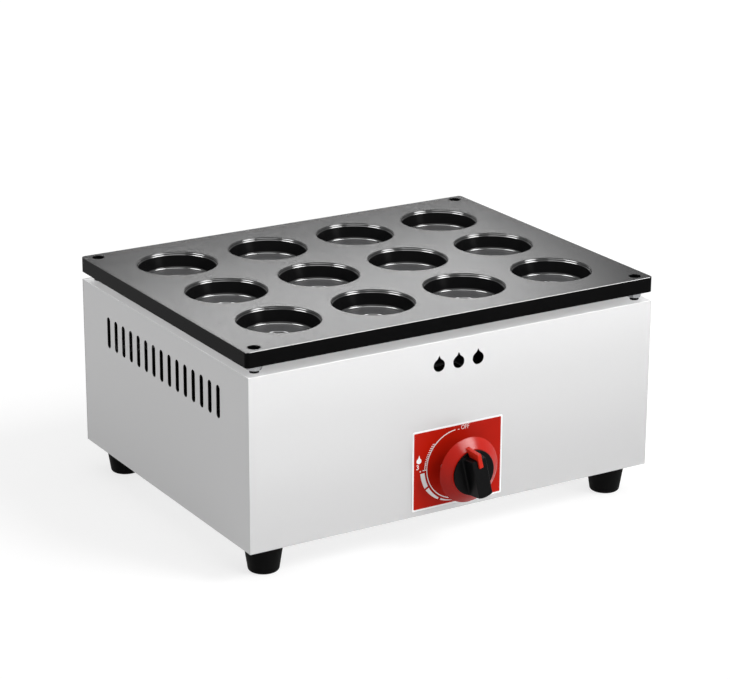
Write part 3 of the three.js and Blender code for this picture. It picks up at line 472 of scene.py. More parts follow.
def rounded_outline(x0, y0, x1, y1, radius, steps=6):
    return (arc(x1 - radius, y1 - radius, radius, 0, 90, steps)
            + arc(x0 + radius, y1 - radius, radius, 90, 180, steps)
            + arc(x0 + radius, y0 + radius, radius, 180, 270, steps)
            + arc(x1 - radius, y0 + radius, radius, 270, 360, steps))


def plate_body():
    """The plate's block, with rounded corners and a small chamfer with soft ends along its edges."""
    rings = []
    edge = [(0, PLATE_EDGE), (PLATE_EDGE * 0.04, PLATE_EDGE * 0.8), (PLATE_EDGE * 0.15, PLATE_EDGE * 0.65),
            (PLATE_EDGE * 0.65, PLATE_EDGE * 0.15), (PLATE_EDGE * 0.8, PLATE_EDGE * 0.04), (PLATE_EDGE, 0)]
    rows = [(inset, PLATE_BOTTOM + depth) for inset, depth in reversed(edge)]
    rows += [(inset, PLATE_TOP - depth) for inset, depth in edge]
    for inset, z in rows:
        outline = rounded_outline(plate_low.x + inset, plate_low.y + inset, plate_high.x - inset,
                                  plate_high.y - inset, PLATE_CORNER - inset)
        rings.append([(x, y, z) for x, y in outline])
    return loft("baking_plate_cast", rings)


def near_screw(point):
    reach = COUNTERBORE + SCREW_CLEARANCE
    return math.hypot(abs(point.x) - SCREW_X, abs(point.y) - SCREW_Y) < reach


def coat_plate(plate):
    """Gives the cup floors a lighter copy of the coating, which is painted light on the level floors, and
    the lips and the cup fillets their glossier coat.
    """
    plate.data.materials.append(painted_light_floor)
    plate.data.materials.append(lip_coating)
    for face in plate.data.polygons:
        depth = PLATE_TOP - face.center.z
        rising = face.normal.z > RISING_FACE
        if face.normal.z > LEVEL_FACE and FLOOR_DEPTHS[0] < depth < FLOOR_DEPTHS[1]:
            face.material_index = 1
        elif LIP_DEPTHS[0] < depth < LIP_DEPTHS[1] and rising and not near_screw(face.center):
            face.material_index = 2
        elif FILLET_DEPTHS[0] < depth < FILLET_DEPTHS[1] and rising:
            face.material_index = 2


def baking_plate():
    plate = plate_body()
    hollow_outline = rounded_outline(plate_low.x + PLATE_RIM, plate_low.y + PLATE_RIM,
                                     plate_high.x - PLATE_RIM, plate_high.y - PLATE_RIM, PLATE_CORNER)
    combine(plate, prism("hollow", hollow_outline, PLATE_BOTTOM - PAST, PLATE_TOP - PLATE_SKIN))
    bowl_profile = [
        (0, -CUP_DEPTH - CUP_WALL), (31 * MM, -CUP_DEPTH - CUP_WALL), (34.5 * MM, -16.3 * MM - CUP_WALL),
        (37.5 * MM, -15.2 * MM - CUP_WALL / 2), (39.4 * MM, -13.8 * MM), (41.7 * MM, -BOWL_TOP),
        (0, -BOWL_TOP),
    ]
    bowls = repeated("bowls", lathe("bowl", bowl_profile, MEDIUM), cup_places())
    combine(plate, bowls, "UNION")
    spots = [(x, y, 0) for x, y in corner_places(SCREW_X, SCREW_Y)]
    boss = post(BOSS, PLATE_BOTTOM, PLATE_TOP - PLATE_SKIN / 2)
    combine(plate, repeated("bosses", boss, spots), "UNION")
    cups = [(r * MM, z * MM) for r, z in [(0, CUP_PROFILE[0][1])] + CUP_PROFILE]
    combine(plate, repeated("cups", lathe("cup", cups, FINE), cup_places()))
    floor = PLATE_TOP - COUNTERBORE_DEPTH
    hole_profile = [
        (0, PLATE_BOTTOM - PAST), (PLATE_SCREW_HOLE, PLATE_BOTTOM - PAST), (PLATE_SCREW_HOLE, floor),
        (COUNTERBORE, floor), (COUNTERBORE, PLATE_TOP - HOLE_ROUND),
        (COUNTERBORE + HOLE_ROUND, PLATE_TOP), (COUNTERBORE + HOLE_ROUND, PLATE_TOP + PAST),
        (0, PLATE_TOP + PAST),
    ]
    combine(plate, repeated("holes", lathe("hole", hole_profile, MEDIUM), spots))
    smooth(plate, 28)
    finish_piece(plate, "housing", "coated_casting", "baking_plate")
    coat_plate(plate)
    return plate


plate_piece = baking_plate()


# Housing
# Degrees round a drop's bulb from its side to where its shoulder starts, and how far in the shoulder bends
DROP_RISE = 58
DROP_SHOULDER = 0.6
INSIDE_DEPTH = 0.45 * SHEET


def slot_outline(width, length, steps=10):
    r = width / 2
    return arc(0, length / 2 - r, r, 0, 180, steps) + arc(0, r - length / 2, r, 180, 360, steps)


def curve_points(p0, p1, p2, steps):
    """The points of a quadratic curve after its first."""
    points = []
    for i in range(1, steps + 1):
        t = i / steps
        weights = ((1 - t) ** 2, 2 * t * (1 - t), t * t)
        points.append(tuple(sum(w * c for w, c in zip(weights, axis)) for axis in zip(p0, p1, p2)))
    return points


def drop_outline(width, height, neck, nib):
    """A drop with its narrow tip up and the bottom of its bulb at 0."""
    r = width / 2
    rise = math.radians(DROP_RISE)
    side = (r * math.cos(rise), r + r * math.sin(rise))
    reach_in = (side[0] - neck) * DROP_SHOULDER
    shoulder = (side[0] - reach_in, side[1] + reach_in / math.tan(rise))
    left = [(0, height), (-neck, height - nib)]
    left += curve_points(left[-1], (-shoulder[0], shoulder[1]), (-side[0], side[1]), 6)
    bulb = arc(0, r, r, 180 - DROP_RISE, 360 + DROP_RISE, 48)[1:]
    right = curve_points(bulb[-1], shoulder, (neck, height - nib), 6)
    return left + bulb + right


def folded_box():
    """The outer skin of the wrap, with its bends rounded along the front and the sides."""
    low = Vector((wrap_low.x, wrap_low.y, wrap_low.z))
    high = Vector((wrap_high.x, wrap_high.y, wrap_high.z))
    bm = bmesh.new()
    bmesh.ops.create_cube(bm, size=1)
    bmesh.ops.scale(bm, vec=high - low, verts=bm.verts)
    bmesh.ops.translate(bm, vec=(high + low) / 2, verts=bm.verts)
    rear = high.y - BEND / 2
    bends = [e for e in bm.edges if not all(v.co.y > rear for v in e.verts)]
    bmesh.ops.bevel(bm, geom=bends, offset=BEND, segments=5, affect="EDGES", profile=0.5)
    return from_bmesh("housing_shell", bm)


def rear_screw_places():
    x = wrap_high.x - SHEET - REAR_LIP / 2
    levels = (BODY_BOTTOM + REAR_SCREW_INSET, BODY_TOP - REAR_SCREW_INSET)
    return [(sx, rear_high.y, z) for z in levels for sx in (-x, x)]


def pierce_front(piece, middle, side):
    """Cuts the hole for the spindle and the two for the valve's screws or their heads."""
    for x, radius in ((0, middle), (-VALVE_SCREW_X, side), (VALVE_SCREW_X, side)):
        hole = post(radius, -SHEET - PAST, PAST)
        combine(piece, moved(hole, CONTROL @ Matrix.Translation((x, 0, 0))))


def darken_inside(piece, low, high):
    """Gives the faces deeper than the outer skin, the cut edges of its holes among them, a near-black steel:
    painted shade for the dark inside of the housing seen through its holes.
    """
    piece.data.materials.append(painted_shade_inside)
    for face in piece.data.polygons:
        if all(a + INSIDE_DEPTH < c < b - INSIDE_DEPTH for a, c, b in zip(low, face.center, high)):
            face.material_index = 1


def housing():
    shell = folded_box()
    x, y_end = wrap_high.x, wrap_high.y
    inside = block("inside", (SHEET - x, FRONT + SHEET, BODY_BOTTOM + SHEET),
                   (x - SHEET, y_end - SHEET, BODY_TOP - SHEET))
    combine(shell, inside)
    combine(shell, block("opening", (FLANGE - x, FRONT + FLANGE, BODY_BOTTOM - PAST),
                         (x - FLANGE, y_end + PAST, BODY_TOP + PAST)))
    lip_x = x - SHEET - REAR_LIP
    combine(shell, block("rear_way", (-lip_x, y_end - SHEET - PAST, BODY_BOTTOM + SHEET),
                         (lip_x, y_end + PAST, BODY_TOP - SHEET)))
    vent = moved(prism("vent", slot_outline(VENT_WIDTH, VENT_LENGTH), -x - PAST, x + PAST), FACING_SIDE)
    level = BODY_TOP - VENT_BELOW_TOP - VENT_LENGTH / 2
    spots = [(0, (i - (VENTS - 1) / 2) * VENT_PITCH, level) for i in range(VENTS)]
    combine(shell, repeated("vents", vent, spots))
    outline = drop_outline(DROP_WIDTH, DROP_HEIGHT, DROP_NECK, DROP_NIB)
    drop = moved(prism("drop", outline, -SHEET - PAST, PAST), FACING_FRONT)
    spots = [(i * DROP_PITCH, FRONT, BODY_TOP - DROP_BELOW_TOP - DROP_HEIGHT) for i in (-1, 0, 1)]
    combine(shell, repeated("drops", drop, spots))
    pierce_front(shell, SPINDLE_HOLE, VALVE_SCREW_HOLE)
    round_hole = moved(post(REAR_SCREW_HOLE, -PAST, 3 * PAST, COARSE), FACING_FRONT)
    spots = [(sx, sy - PAST, sz) for sx, sy, sz in rear_screw_places()]
    combine(shell, repeated("screw_holes", round_hole, spots))
    for holes, radius, z in ((corner_places(SCREW_X, SCREW_Y), PLATE_SCREW_HOLE, BODY_TOP),
                             (corner_places(foot_x, foot_y), FOOT_SCREW_HOLE, BODY_BOTTOM + SHEET)):
        through = post(radius, -2 * SHEET, SHEET, COARSE)
        combine(shell, repeated("screw_holes", through, [(hx, hy, z) for hx, hy in holes]))
    smooth(shell, 28)
    finish_piece(shell, "housing", "stainless", "housing_wrap")
    darken_inside(shell, wrap_low, wrap_high)
    return shell


foot_boxes = [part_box(f"foot_{i + 1}") for i in range(4)]
foot_x = (foot_boxes[1][0].x + foot_boxes[1][1].x) / 2
foot_y = (foot_boxes[2][0].y + foot_boxes[2][1].y) / 2
housing_shell = housing()


nozzle_low, nozzle_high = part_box("hose_nozzle")
INLET = Matrix.Translation(((nozzle_low.x + nozzle_high.x) / 2, rear_high.y, KNOB_LEVEL)) @ FACING_REAR


# Rear panel, with rounded bends to its two flanges
def rear_panel():
    low, high = rear_low, rear_high
    flange_y = high.y - FLANGE
    panel = block("panel", (low.x, high.y - SHEET, low.z), high)
    flange_x = wrap_high.x - FLANGE - REAR_GAP
    for z in (low.z, high.z - SHEET):
        flange = block("flange", (-flange_x, flange_y, z), (flange_x, high.y - SHEET / 2, z + SHEET))
        combine(panel, flange, "UNION")
    combine(panel, moved(post(NOZZLE_HOLE, -2 * PAST, PAST), INLET))
    round_hole = moved(post(REAR_SCREW_HOLE, -2 * PAST, PAST, COARSE), FACING_REAR)
    combine(panel, repeated("holes", round_hole, rear_screw_places()))
    rounded(panel, REAR_BEND, 2, 50)
    smooth(panel, 35)
    finish_piece(panel, "housing", "stainless", "rear_panel")
    darken_inside(panel, low, high)
    return panel


rear_panel()


# Feet
def foot_profile():
    low, high = foot_boxes[0]
    height = high.z - low.z
    top, bottom, edge, bore, bore_top = 19.3 * MM, 15 * MM, 3 * MM, 6.5 * MM, 17 * MM
    screw, lip = FOOT_SCREW_HOLE, 0.6 * MM
    profile = [(bore, lip), (bore + lip, 0)]
    profile += arc(bottom - edge, edge, edge, -90, -9, 10)
    profile += [(top - lip * 0.6, height - lip), (top - lip, height)]
    profile += [(screw, height), (screw, bore_top), (bore, bore_top)]
    return profile


for number, (x, y) in enumerate(corner_places(foot_x, foot_y), 1):
    foot = moved(lathe(f"rubber_foot_{number}", foot_profile()), Matrix.Translation((x, y, 0)))
    smooth(foot, 40)
    finish_piece(foot, "housing", "foot_rubber", f"foot_{number}")


# Screws, nuts and spacers
def slotted_head(name, radius, height, shank, length, slot=1 * MM, dome=0.35 * MM):
    """A screw on its head, thread up, with the head's underside at 0 and a slot across it."""
    profile = [(0, -height), (radius - 2 * dome, -height), (radius - dome * 0.6, dome * 0.5 - height),
               (radius, dome * 1.4 - height), (radius, 0), (shank, 0), (shank, length - dome),
               (shank - dome, length), (0, length)]
    reach = radius + PAST
    cutter = block("slot", (-reach, -slot / 2, -height - PAST), (reach, slot / 2, slot - height))
    return combine(lathe(name, profile, MEDIUM), cutter)


CAP_SHANK = 3 * MM
CAP_SHANK_EDGE = 0.4 * MM
CAP_HEAD = 5 * MM
CAP_HEAD_HEIGHT = 6 * MM
CAP_HEAD_EDGE = 0.5 * MM
CAP_KEY = 2.9 * MM
CAP_KEY_DEPTH = 3 * MM
SPACER_HEX_HEIGHT = 5 * MM
SPACER_NECK_START = 0.1 * MM
FOOT_BOLT = {"radius": 4.8 * MM, "height": 3 * MM, "shank": 2.5 * MM}
PANEL_SCREW = {"radius": 3.7 * MM, "height": 2.2 * MM, "shank": 1.9 * MM}


def cap_screw(name, low, high):
    """A screw with a cylinder head and a hexagon key in it, from its tip to the top of its head."""
    seat, softened = high - CAP_HEAD_HEIGHT, 0.3 * CAP_HEAD_EDGE
    profile = [(0, low), (CAP_SHANK - CAP_SHANK_EDGE, low), (CAP_SHANK, low + CAP_SHANK_EDGE),
               (CAP_SHANK, seat), (CAP_HEAD, seat), (CAP_HEAD, high - CAP_HEAD_EDGE),
               (CAP_HEAD - softened, high - softened), (CAP_HEAD - CAP_HEAD_EDGE, high), (0, high)]
    return combine(lathe(name, profile, MEDIUM), post(CAP_KEY, high - CAP_KEY_DEPTH, high + PAST, 6))


def hexagon_spacer(name, low, high):
    """A hexagon with chamfered corners on a round neck."""
    corner, chamfer, neck, edge, bore = 7.45 * MM, 0.5 * MM, 4.5 * MM, 0.3 * MM, PLATE_SCREW_HOLE
    base = high - SPACER_HEX_HEIGHT
    hexagon = lathe(name, [(bore, base), (corner, base), (corner, high), (bore, high)], 6)
    hexagon.data.transform(Matrix.Rotation(math.radians(45), 4, "Z"))
    outer = [(0, base), (corner - 2 * chamfer, base), (corner, base + chamfer), (corner, high - chamfer),
             (corner - 2 * chamfer, high), (0, high)]
    combine(hexagon, lathe("round_off", outer, MEDIUM), "INTERSECT")
    stem = [(bore, low), (neck - edge, low), (neck, low + edge), (neck, base + chamfer),
            (bore, base + chamfer)]
    return combine(hexagon, lathe("stem", stem, MEDIUM), "UNION")


for number, (x, y) in enumerate(corner_places(SCREW_X, SCREW_Y), 1):
    low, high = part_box(f"plate_screw_{number}")
    screw = cap_screw(f"cap_screw_{number}", low.z, high.z)
    smooth(moved(screw, Matrix.Translation((x, y, 0))), 35)
    finish_piece(screw, "housing", "black_screw", f"plate_screw_{number}")
    low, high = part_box(f"plate_spacer_{number}")
    spacer = hexagon_spacer(f"hexagon_spacer_{number}", low.z, high.z)
    smooth(moved(spacer, Matrix.Translation((x, y, 0))), 35)
    finish_piece(spacer, "housing", "zinc_steel", f"plate_spacer_{number}")
    # The neck under the hexagon takes the black screw finish: painted shade for the shadow under the plate
    spacer.data.materials.append(materials["black_screw"])
    for face in spacer.data.polygons:
        if face.center.z < high.z - SPACER_HEX_HEIGHT - SPACER_NECK_START:
            face.material_index = 1

for number, (x, y) in enumerate(corner_places(foot_x, foot_y), 1):
    low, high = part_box(f"foot_screw_{number}")
    seat = low.z + FOOT_BOLT["height"]
    screw = slotted_head(f"foot_bolt_{number}", length=high.z - seat, **FOOT_BOLT)
    smooth(moved(screw, Matrix.Translation((x, y, seat))), 35)
    finish_piece(screw, "housing", "zinc_steel", f"foot_screw_{number}")

for number, (x, y, z) in enumerate(rear_screw_places(), 1):
    low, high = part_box(f"rear_screw_{number}")
    seat = high.y - PANEL_SCREW["height"]
    screw = slotted_head(f"panel_screw_{number}", length=seat - low.y, **PANEL_SCREW)
    smooth(moved(screw, Matrix.Translation((x, seat, z)) @ FACING_FRONT), 35)
    finish_piece(screw, "housing", "zinc_steel", f"rear_screw_{number}")


# Knob: dish, grip and pointer, in millimetres from its axis and from the panel
KNOB_STEPS = 5
DISH_STEPS = 8


def knob_dish():
    rim, neck, rim_depth, face = 32.4, 22.6, 20.1, 27.2
    wall, edge, hub, hub_depth, flat_bore = 2.2, 1.2, 8.5, 7, 4.3
    slope = (face - rim_depth) / (rim - neck)
    inner_face = face - wall
    inner_neck = rim - wall - (inner_face - rim_depth + edge) / slope
    profile = [
        (flat_bore, hub_depth), (hub - 0.4, hub_depth), (hub, hub_depth + 0.4), (hub, inner_face - 0.6),
        (hub + 0.6, inner_face), (inner_neck, inner_face), (rim - wall, rim_depth - edge),
        (rim - 1.0, rim_depth - edge), (rim - 0.15, rim_depth - 0.35), (rim, rim_depth - 0.15),
        (rim - 0.08, rim_depth + 0.05), (rim - 0.5, rim_depth + 0.36),
    ]
    outer, inner = rim - 0.5, neck + 0.9
    for i in range(1, DISH_STEPS + 1):
        t = i / DISH_STEPS
        bulge = 0.35 * math.sin(math.pi * t)
        radius = outer + (inner - outer) * t
        profile.append((radius + bulge * 0.3, rim_depth + (rim - radius) * slope + bulge * 0.5))
    profile += [(neck + 0.3, face - 0.1), (neck - 0.4, face), (flat_bore, face)]
    dish = lathe("red_dish", [(r * MM, z * MM) for r, z in profile], VERY_FINE)
    moved(dish, KNOB)
    smooth(dish, 32)
    return finish_piece(dish, "knob", "knob_red", "knob_skirt")


GRIP_RADIUS = 22.2
GRIP_FRONT_RADIUS = 21.2
GRIP_FOOT = 27.5
GRIP_DISC = 29.5
GRIP_EDGE = 0.6
GRIP_FOOT_EDGE = 0.3
BAR_FOOT_HALF = 9.2
BAR_FRONT_HALF = 7.5
BAR_HEAD = 18.6
BAR_DEPTH = 43.6
BAR_ROUND = 0.7
BAR_CORNER = 0.7
BAR_FILLET = 1.4
# The pointer's groove: its half width, and for its two steps where it starts and how deep it reaches
GROOVE_HALF = 2.4
GROOVE_STEPS = ((10.3, 40.8), (15.8, 25))
GROOVE_TOP = 48


def bar_outline(share, inset=0.0, flare=0.0):
    """The bar's plan at a share of its height: a chord at the head and a round tail."""
    half = BAR_FOOT_HALF + (BAR_FRONT_HALF - BAR_FOOT_HALF) * share - inset + flare
    radius = GRIP_RADIUS + (GRIP_FRONT_RADIUS - GRIP_RADIUS) * share - inset
    top = min(BAR_HEAD - inset + flare, math.sqrt(radius ** 2 - half ** 2))
    corner = BAR_CORNER
    tail_y = -math.sqrt(radius ** 2 - half ** 2)
    tail_angle = math.degrees(math.atan2(tail_y, half))
    right = [(half, y) for y in (top - corner, top * 0.5, 0, tail_y * 0.5)]
    tail = arc(0, 0, radius, tail_angle, -180 - tail_angle, 24)
    left = [(-x, y) for x, y in reversed(right)]
    head = arc(corner - half, top - corner, corner, 180, 90, 3)[1:]
    head += arc(half - corner, top - corner, corner, 90, 0, 3)[:-1]
    return right + tail + left + head


def knob_grip():
    height = BAR_DEPTH - BAR_ROUND - GRIP_DISC
    rings = [[(x, y, GRIP_FOOT + 1) for x, y in bar_outline(0, flare=BAR_FILLET)]]
    quarter = [math.pi / 2 * i / KNOB_STEPS for i in range(KNOB_STEPS + 1)]
    for a in quarter:
        rise = BAR_FILLET * (1 - math.cos(a))
        flare = BAR_FILLET * (1 - math.sin(a))
        rings.append([(x, y, GRIP_DISC + rise) for x, y in bar_outline(rise / height, flare=flare)])
    rings.append([(x, y, GRIP_DISC + height / 2) for x, y in bar_outline(0.5)])
    for a in quarter:
        inset = BAR_ROUND * (1 - math.cos(a))
        z = BAR_DEPTH - BAR_ROUND * (1 - math.sin(a))
        rings.append([(x, y, z) for x, y in bar_outline(1, inset)])
    handle = loft("handle", [[(x * MM, y * MM, z * MM) for x, y, z in ring] for ring in rings])
    disc_profile = [(0, GRIP_FOOT), (GRIP_RADIUS - GRIP_FOOT_EDGE, GRIP_FOOT),
                    (GRIP_RADIUS, GRIP_FOOT + GRIP_FOOT_EDGE)]
    disc_profile += arc(GRIP_RADIUS - GRIP_EDGE, GRIP_DISC - GRIP_EDGE, GRIP_EDGE, 0, 90, KNOB_STEPS)
    disc_profile += [(0, GRIP_DISC)]
    disc = lathe("black_grip", [(r * MM, z * MM) for r, z in disc_profile], VERY_FINE)
    combine(disc, handle, "UNION")
    corner = Vector((GROOVE_HALF, GRIP_RADIUS + 2, GROOVE_TOP)) * MM
    for start, level in GROOVE_STEPS:
        combine(disc, block("groove", Vector((-GROOVE_HALF, start, level)) * MM, corner))
    moved(disc, KNOB)
    smooth(disc, 30)
    return finish_piece(disc, "knob", "knob_black", "knob_grip")


# The pointer from its side: distance from the knob's axis and from the panel
POINTER_OUTLINE = ((16.1, 27.5), (22.6, 27.5), (26, 25.04), (25.2, 45), (24.6, 45.6), (11.2, 45.6),
                   (10.6, 45), (10.6, 41.1), (16.1, 41.1))
POINTER_HALF = 2.1
POINTER_ROUND = 0.45


def knob_pointer():
    outline = [(y * MM, z * MM) for y, z in POINTER_OUTLINE]
    pointer = prism("red_pointer", outline, -POINTER_HALF * MM, POINTER_HALF * MM)
    moved(pointer, FACING_SIDE)
    rounded(pointer, POINTER_ROUND * MM, 3, 25)
    moved(pointer, KNOB)
    smooth(pointer, 40)
    return finish_piece(pointer, "knob", "knob_red", "knob_pointer", material=pointer_red)


# Return spring, a coil that the pushed knob shortens towards its end at the plug
SPRING_WIRE = 0.65 * MM
SPRING_TURNS = 5
SPRING_STEPS = 32
SPRING_SIDES = 12


def return_spring():
    low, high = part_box("return_spring")
    middle = (low + high) / 2
    radius = (high.x - low.x) / 2 - SPRING_WIRE
    start, reach = low.y + SPRING_WIRE, high.y - low.y - 2 * SPRING_WIRE
    climb = reach / (2 * math.pi * SPRING_TURNS * radius)
    rings = []
    steps = SPRING_STEPS * SPRING_TURNS
    for i in range(steps + 1):
        t = i / steps
        turn = 2 * math.pi * SPRING_TURNS * t
        out = Vector((math.cos(turn), 0, math.sin(turn)))
        side = Vector((-math.sin(turn), climb, math.cos(turn))).normalized().cross(out)
        center = Vector((middle.x, start + reach * t, middle.z)) + out * radius
        round_wire = [2 * math.pi * k / SPRING_SIDES for k in range(SPRING_SIDES)]
        rings.append([center + (out * math.cos(a) + side * math.sin(a)) * SPRING_WIRE for a in round_wire])
    spring = smooth(loft("coil_spring", rings), 50)
    finish_piece(spring, "valve_plug", "zinc_steel", "return_spring")
    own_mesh(spring)


return_spring()
dish_piece = knob_dish()
knob_grip()
knob_pointer()


# Control label: a white plate with a red field and white marks on it, in millimetres from the control axis
LABEL_X = 50.5
LABEL_Y = 40
LABEL_CORNER = 1.5
LABEL_BORDER = 1.7
FIELD_CORNER = 1.0
PRINT_ROOT = 0.05
PRINT = 0.02


def flat_print(name, outlines, level):
    """Thin printed shapes on the label, each an outline in millimetres from the control axis."""
    base = (FRONT - label_low.y) / MM
    low, high = (base - PRINT_ROOT) * MM, (base + level) * MM
    pieces = [prism(name, [(x * MM, y * MM) for x, y in outline], low, high) for outline in outlines]
    made = joined(name, pieces) if len(pieces) > 1 else pieces[0]
    return moved(made, CONTROL)


def ring_piece(inner, outer, start, end, inner_end=None, outer_end=None, steps=24):
    """A stretch of a ring, with angles in degrees anticlockwise from straight up."""
    inner_end = inner if inner_end is None else inner_end
    outer_end = outer if outer_end is None else outer_end
    outside, inside = [], []
    for i in range(steps + 1):
        t = i / steps
        a = math.radians(90 + start + (end - start) * t)
        r1, r0 = outer + (outer_end - outer) * t, inner + (inner_end - inner) * t
        outside.append((r1 * math.cos(a), r1 * math.sin(a)))
        inside.append((r0 * math.cos(a), r0 * math.sin(a)))
    return outside + inside[::-1]


def stroke(points, width):
    """A straight stroke between two points."""
    (x0, y0), (x1, y1) = points
    length = math.hypot(x1 - x0, y1 - y0)
    nx, ny = -(y1 - y0) / length * width / 2, (x1 - x0) / length * width / 2
    return [(x0 + nx, y0 + ny), (x0 - nx, y0 - ny), (x1 - nx, y1 - ny), (x1 + nx, y1 + ny)]


def control_label():
    x, y = LABEL_X * MM, LABEL_Y * MM
    outline = rounded_outline(-x, -y, x, y, LABEL_CORNER * MM)
    backing = moved(prism("label_backing", outline, FRONT - label_high.y, FRONT - label_low.y), CONTROL)
    pierce_front(backing, LABEL_BORE, VALVE_HEAD_HOLE)
    smooth(backing, 35)
    finish_piece(backing, "housing", "label_red", "control_label", material=label_white)
    x, y = LABEL_X - LABEL_BORDER, LABEL_Y - LABEL_BORDER
    field = flat_print("label_field", [rounded_outline(-x, -y, x, y, FIELD_CORNER)], PRINT)
    pierce_front(field, LABEL_BORE, VALVE_HEAD_HOLE)
    smooth(field, 35)
    finish_piece(field, "housing", "label_red")


# The dial: radii, widths and lengths in millimetres, angles in degrees anticlockwise from straight up
DIAL_LINE = 34.4
DIAL_HALF = 0.45
DIAL_ENDS = (5, 164)
DASHES = 11
DASH_ENDS = (45.7, 84)
DASH_LEAN = 3.4
DASH_RADII = (34.3, 37.2)
DASH_WIDTH = 0.6
# Each bar: inner radius, outer radius, first angle, last angle, and the two radii at its last angle
DIAL_BARS = ((36.9, 41.6, 94, 117, 36.9, 41.1), (36.9, 40.8, 120, 146, 36.9, 38.9),
             (36.7, 38.5, 150, 171, 36.3, 36.6))


def dial_marks():
    """The line with its marks at off and high, the hatched band between them, and bars towards low."""
    shapes = [ring_piece(DIAL_LINE - DIAL_HALF, DIAL_LINE + DIAL_HALF, *DIAL_ENDS, steps=64)]
    shapes.append([(0, 33.7), (1.6, 33.7), (1.6, 34.4), (0, 34.4)])
    first, last = DASH_ENDS
    for i in range(DASHES):
        start = first + (last - first) * i / DASHES
        angles = (math.radians(90 + start), math.radians(90 + start + DASH_LEAN))
        ends = [(r * math.cos(a), r * math.sin(a)) for r, a in zip(DASH_RADII, angles)]
        shapes.append(stroke(ends, DASH_WIDTH))
    shapes.append(ring_piece(36.2, 37.0, 78, 90, steps=8))
    shapes.append(stroke(((-34.3, 0), (-39, 0)), 0.9))
    shapes.append(arc(-41.6, -0.4, 0.75, 0, 345, 12))
    shapes += [ring_piece(*bar) for bar in DIAL_BARS]
    return shapes


# Shares of the flame's width or height
FLAME_NECK = 0.1
FLAME_NIB = 0.2
FLAME_LEAN = 0.08
FLAME = {"cx": -43.2, "cy": 11.9, "width": 5.4, "height": 8.6}
# Text, place, size, share of its usual width, and how much each stroke is widened, in millimetres
WORDS = (("OFF", 3.4, 33.4, 6.5, 0.82, -0.04), ("3", -46.3, 2.1, 6.6, 1, 0.06))
LETTER_RELIEF = 0.05


def flame_outline(cx, cy, width, height):
    """A small flame: a drop with its tip bent a little to one side."""
    points = []
    for x, y in drop_outline(width, height, width * FLAME_NECK, height * FLAME_NIB):
        lean = FLAME_LEAN * height * max(0, y / height - 0.5)
        points.append((cx + x + lean, cy + y - height / 2))
    return points


def dial_words():
    """OFF at the top and the plain number 3 for high heat."""
    words = []
    for text, x, y, size, narrow, widened in WORDS:
        curve = bpy.data.curves.new("lettering", "FONT")
        curve.body = text
        curve.size = size * MM
        curve.extrude = LETTER_RELIEF * MM
        curve.offset = widened * MM
        letters = bpy.data.objects.new("lettering", curve)
        scene.collection.objects.link(letters)
        bpy.context.view_layer.update()
        graph = bpy.context.evaluated_depsgraph_get()
        mesh = bpy.data.meshes.new_from_object(letters.evaluated_get(graph))
        bpy.data.objects.remove(letters)
        base = FRONT - label_low.y
        mesh.transform(Matrix.Translation((x * MM, y * MM, base)) @ Matrix.Diagonal((narrow, 1, 1, 1)))
        words.append(mesh_object("letters", mesh))
    return moved(joined("dial_lettering", words), CONTROL)


control_label()
marks = flat_print("dial_marks", dial_marks() + [flame_outline(**FLAME)], 2.5 * PRINT)
finish_piece(marks, "housing", "label_red", material=label_white)
finish_piece(dial_words(), "housing", "label_red", material=label_white)

# Hose nozzle at the rear
NOZZLE_REACH = nozzle_high.y - rear_high.y


def hose_nozzle():
    barbs, pitch, barb, neck, bore, thread = 4, 7 * MM, 5.6 * MM, 4.4 * MM, 3 * MM, 7 * MM
    inside, thread_edge, edge = 22 * MM, 0.4 * MM, 0.3 * MM
    corner, hexagon_height = 11.5 * MM, 8 * MM
    start = NOZZLE_REACH - barbs * pitch
    profile = [(bore, -inside), (thread - thread_edge, -inside), (thread, thread_edge - inside),
               (thread, hexagon_height / 2), (neck, hexagon_height / 2), (neck, start - edge)]
    for i in range(barbs):
        z = start + i * pitch
        profile += [(barb - 0.2 * MM, z), (barb, z + 0.25 * MM), (barb - 0.05 * MM, z + 0.5 * MM),
                    (neck, z + pitch - 0.2 * MM)]
    profile += [(neck - edge, NOZZLE_REACH), (bore, NOZZLE_REACH)]
    body = lathe("brass_nozzle", profile, MEDIUM)
    nut = post(corner, edge, hexagon_height, 6)
    chamfer = lathe("chamfer", [(0, -PAST), (11 * MM, -PAST), (11.6 * MM, 2 * MM),
                                (11.6 * MM, hexagon_height - 1.4 * MM), (10.3 * MM, hexagon_height),
                                (0, hexagon_height)], MEDIUM)
    combine(nut, chamfer, "INTERSECT")
    combine(nut, post(5 * MM, -PAST, 3 * MM))
    combine(body, nut, "UNION")
    moved(body, INLET)
    smooth(body, 30)
    return finish_piece(body, "housing", "brass", "hose_nozzle")


hose_nozzle()

# CAD nodes that stay as they are get the finish of their slot
slots = {row["node"]: row["material_slot"] for row in frame["record"]["subparts"]}
for name, node in frame["nodes"].items():
    if node.hide_render:
        continue
    node.data.materials.clear()
    node.data.materials.append(materials[slots[name]])


# Floor, light and world. For the rays that show the background, the floor mixes a glow into what it
# reflects, so that both together come to white and the object's shadow stays
FLOOR_SIZE = 60
FLOOR_COLOR = (0.95, 0.95, 0.95)
FLOOR_GLOW = 1.15
FLOOR_GLOW_SHARE = 0.65
WHITE = (1, 1, 1, 1)
SEEN_STRENGTH = 1.0
AMBIENT_STRENGTH = 0.3
GRID_SPREAD = 24


def seen_rays(nodes, links):
    """1 for the rays that show the background: camera, glossy and transmission rays."""
    path = nodes.new("ShaderNodeLightPath")
    first, second = nodes.new("ShaderNodeMath"), nodes.new("ShaderNodeMath")
    first.operation = second.operation = "MAXIMUM"
    links.new(path.outputs["Is Camera Ray"], first.inputs[0])
    links.new(path.outputs["Is Glossy Ray"], first.inputs[1])
    links.new(first.outputs[0], second.inputs[0])
    links.new(path.outputs["Is Transmission Ray"], second.inputs[1])
    return second.outputs[0]


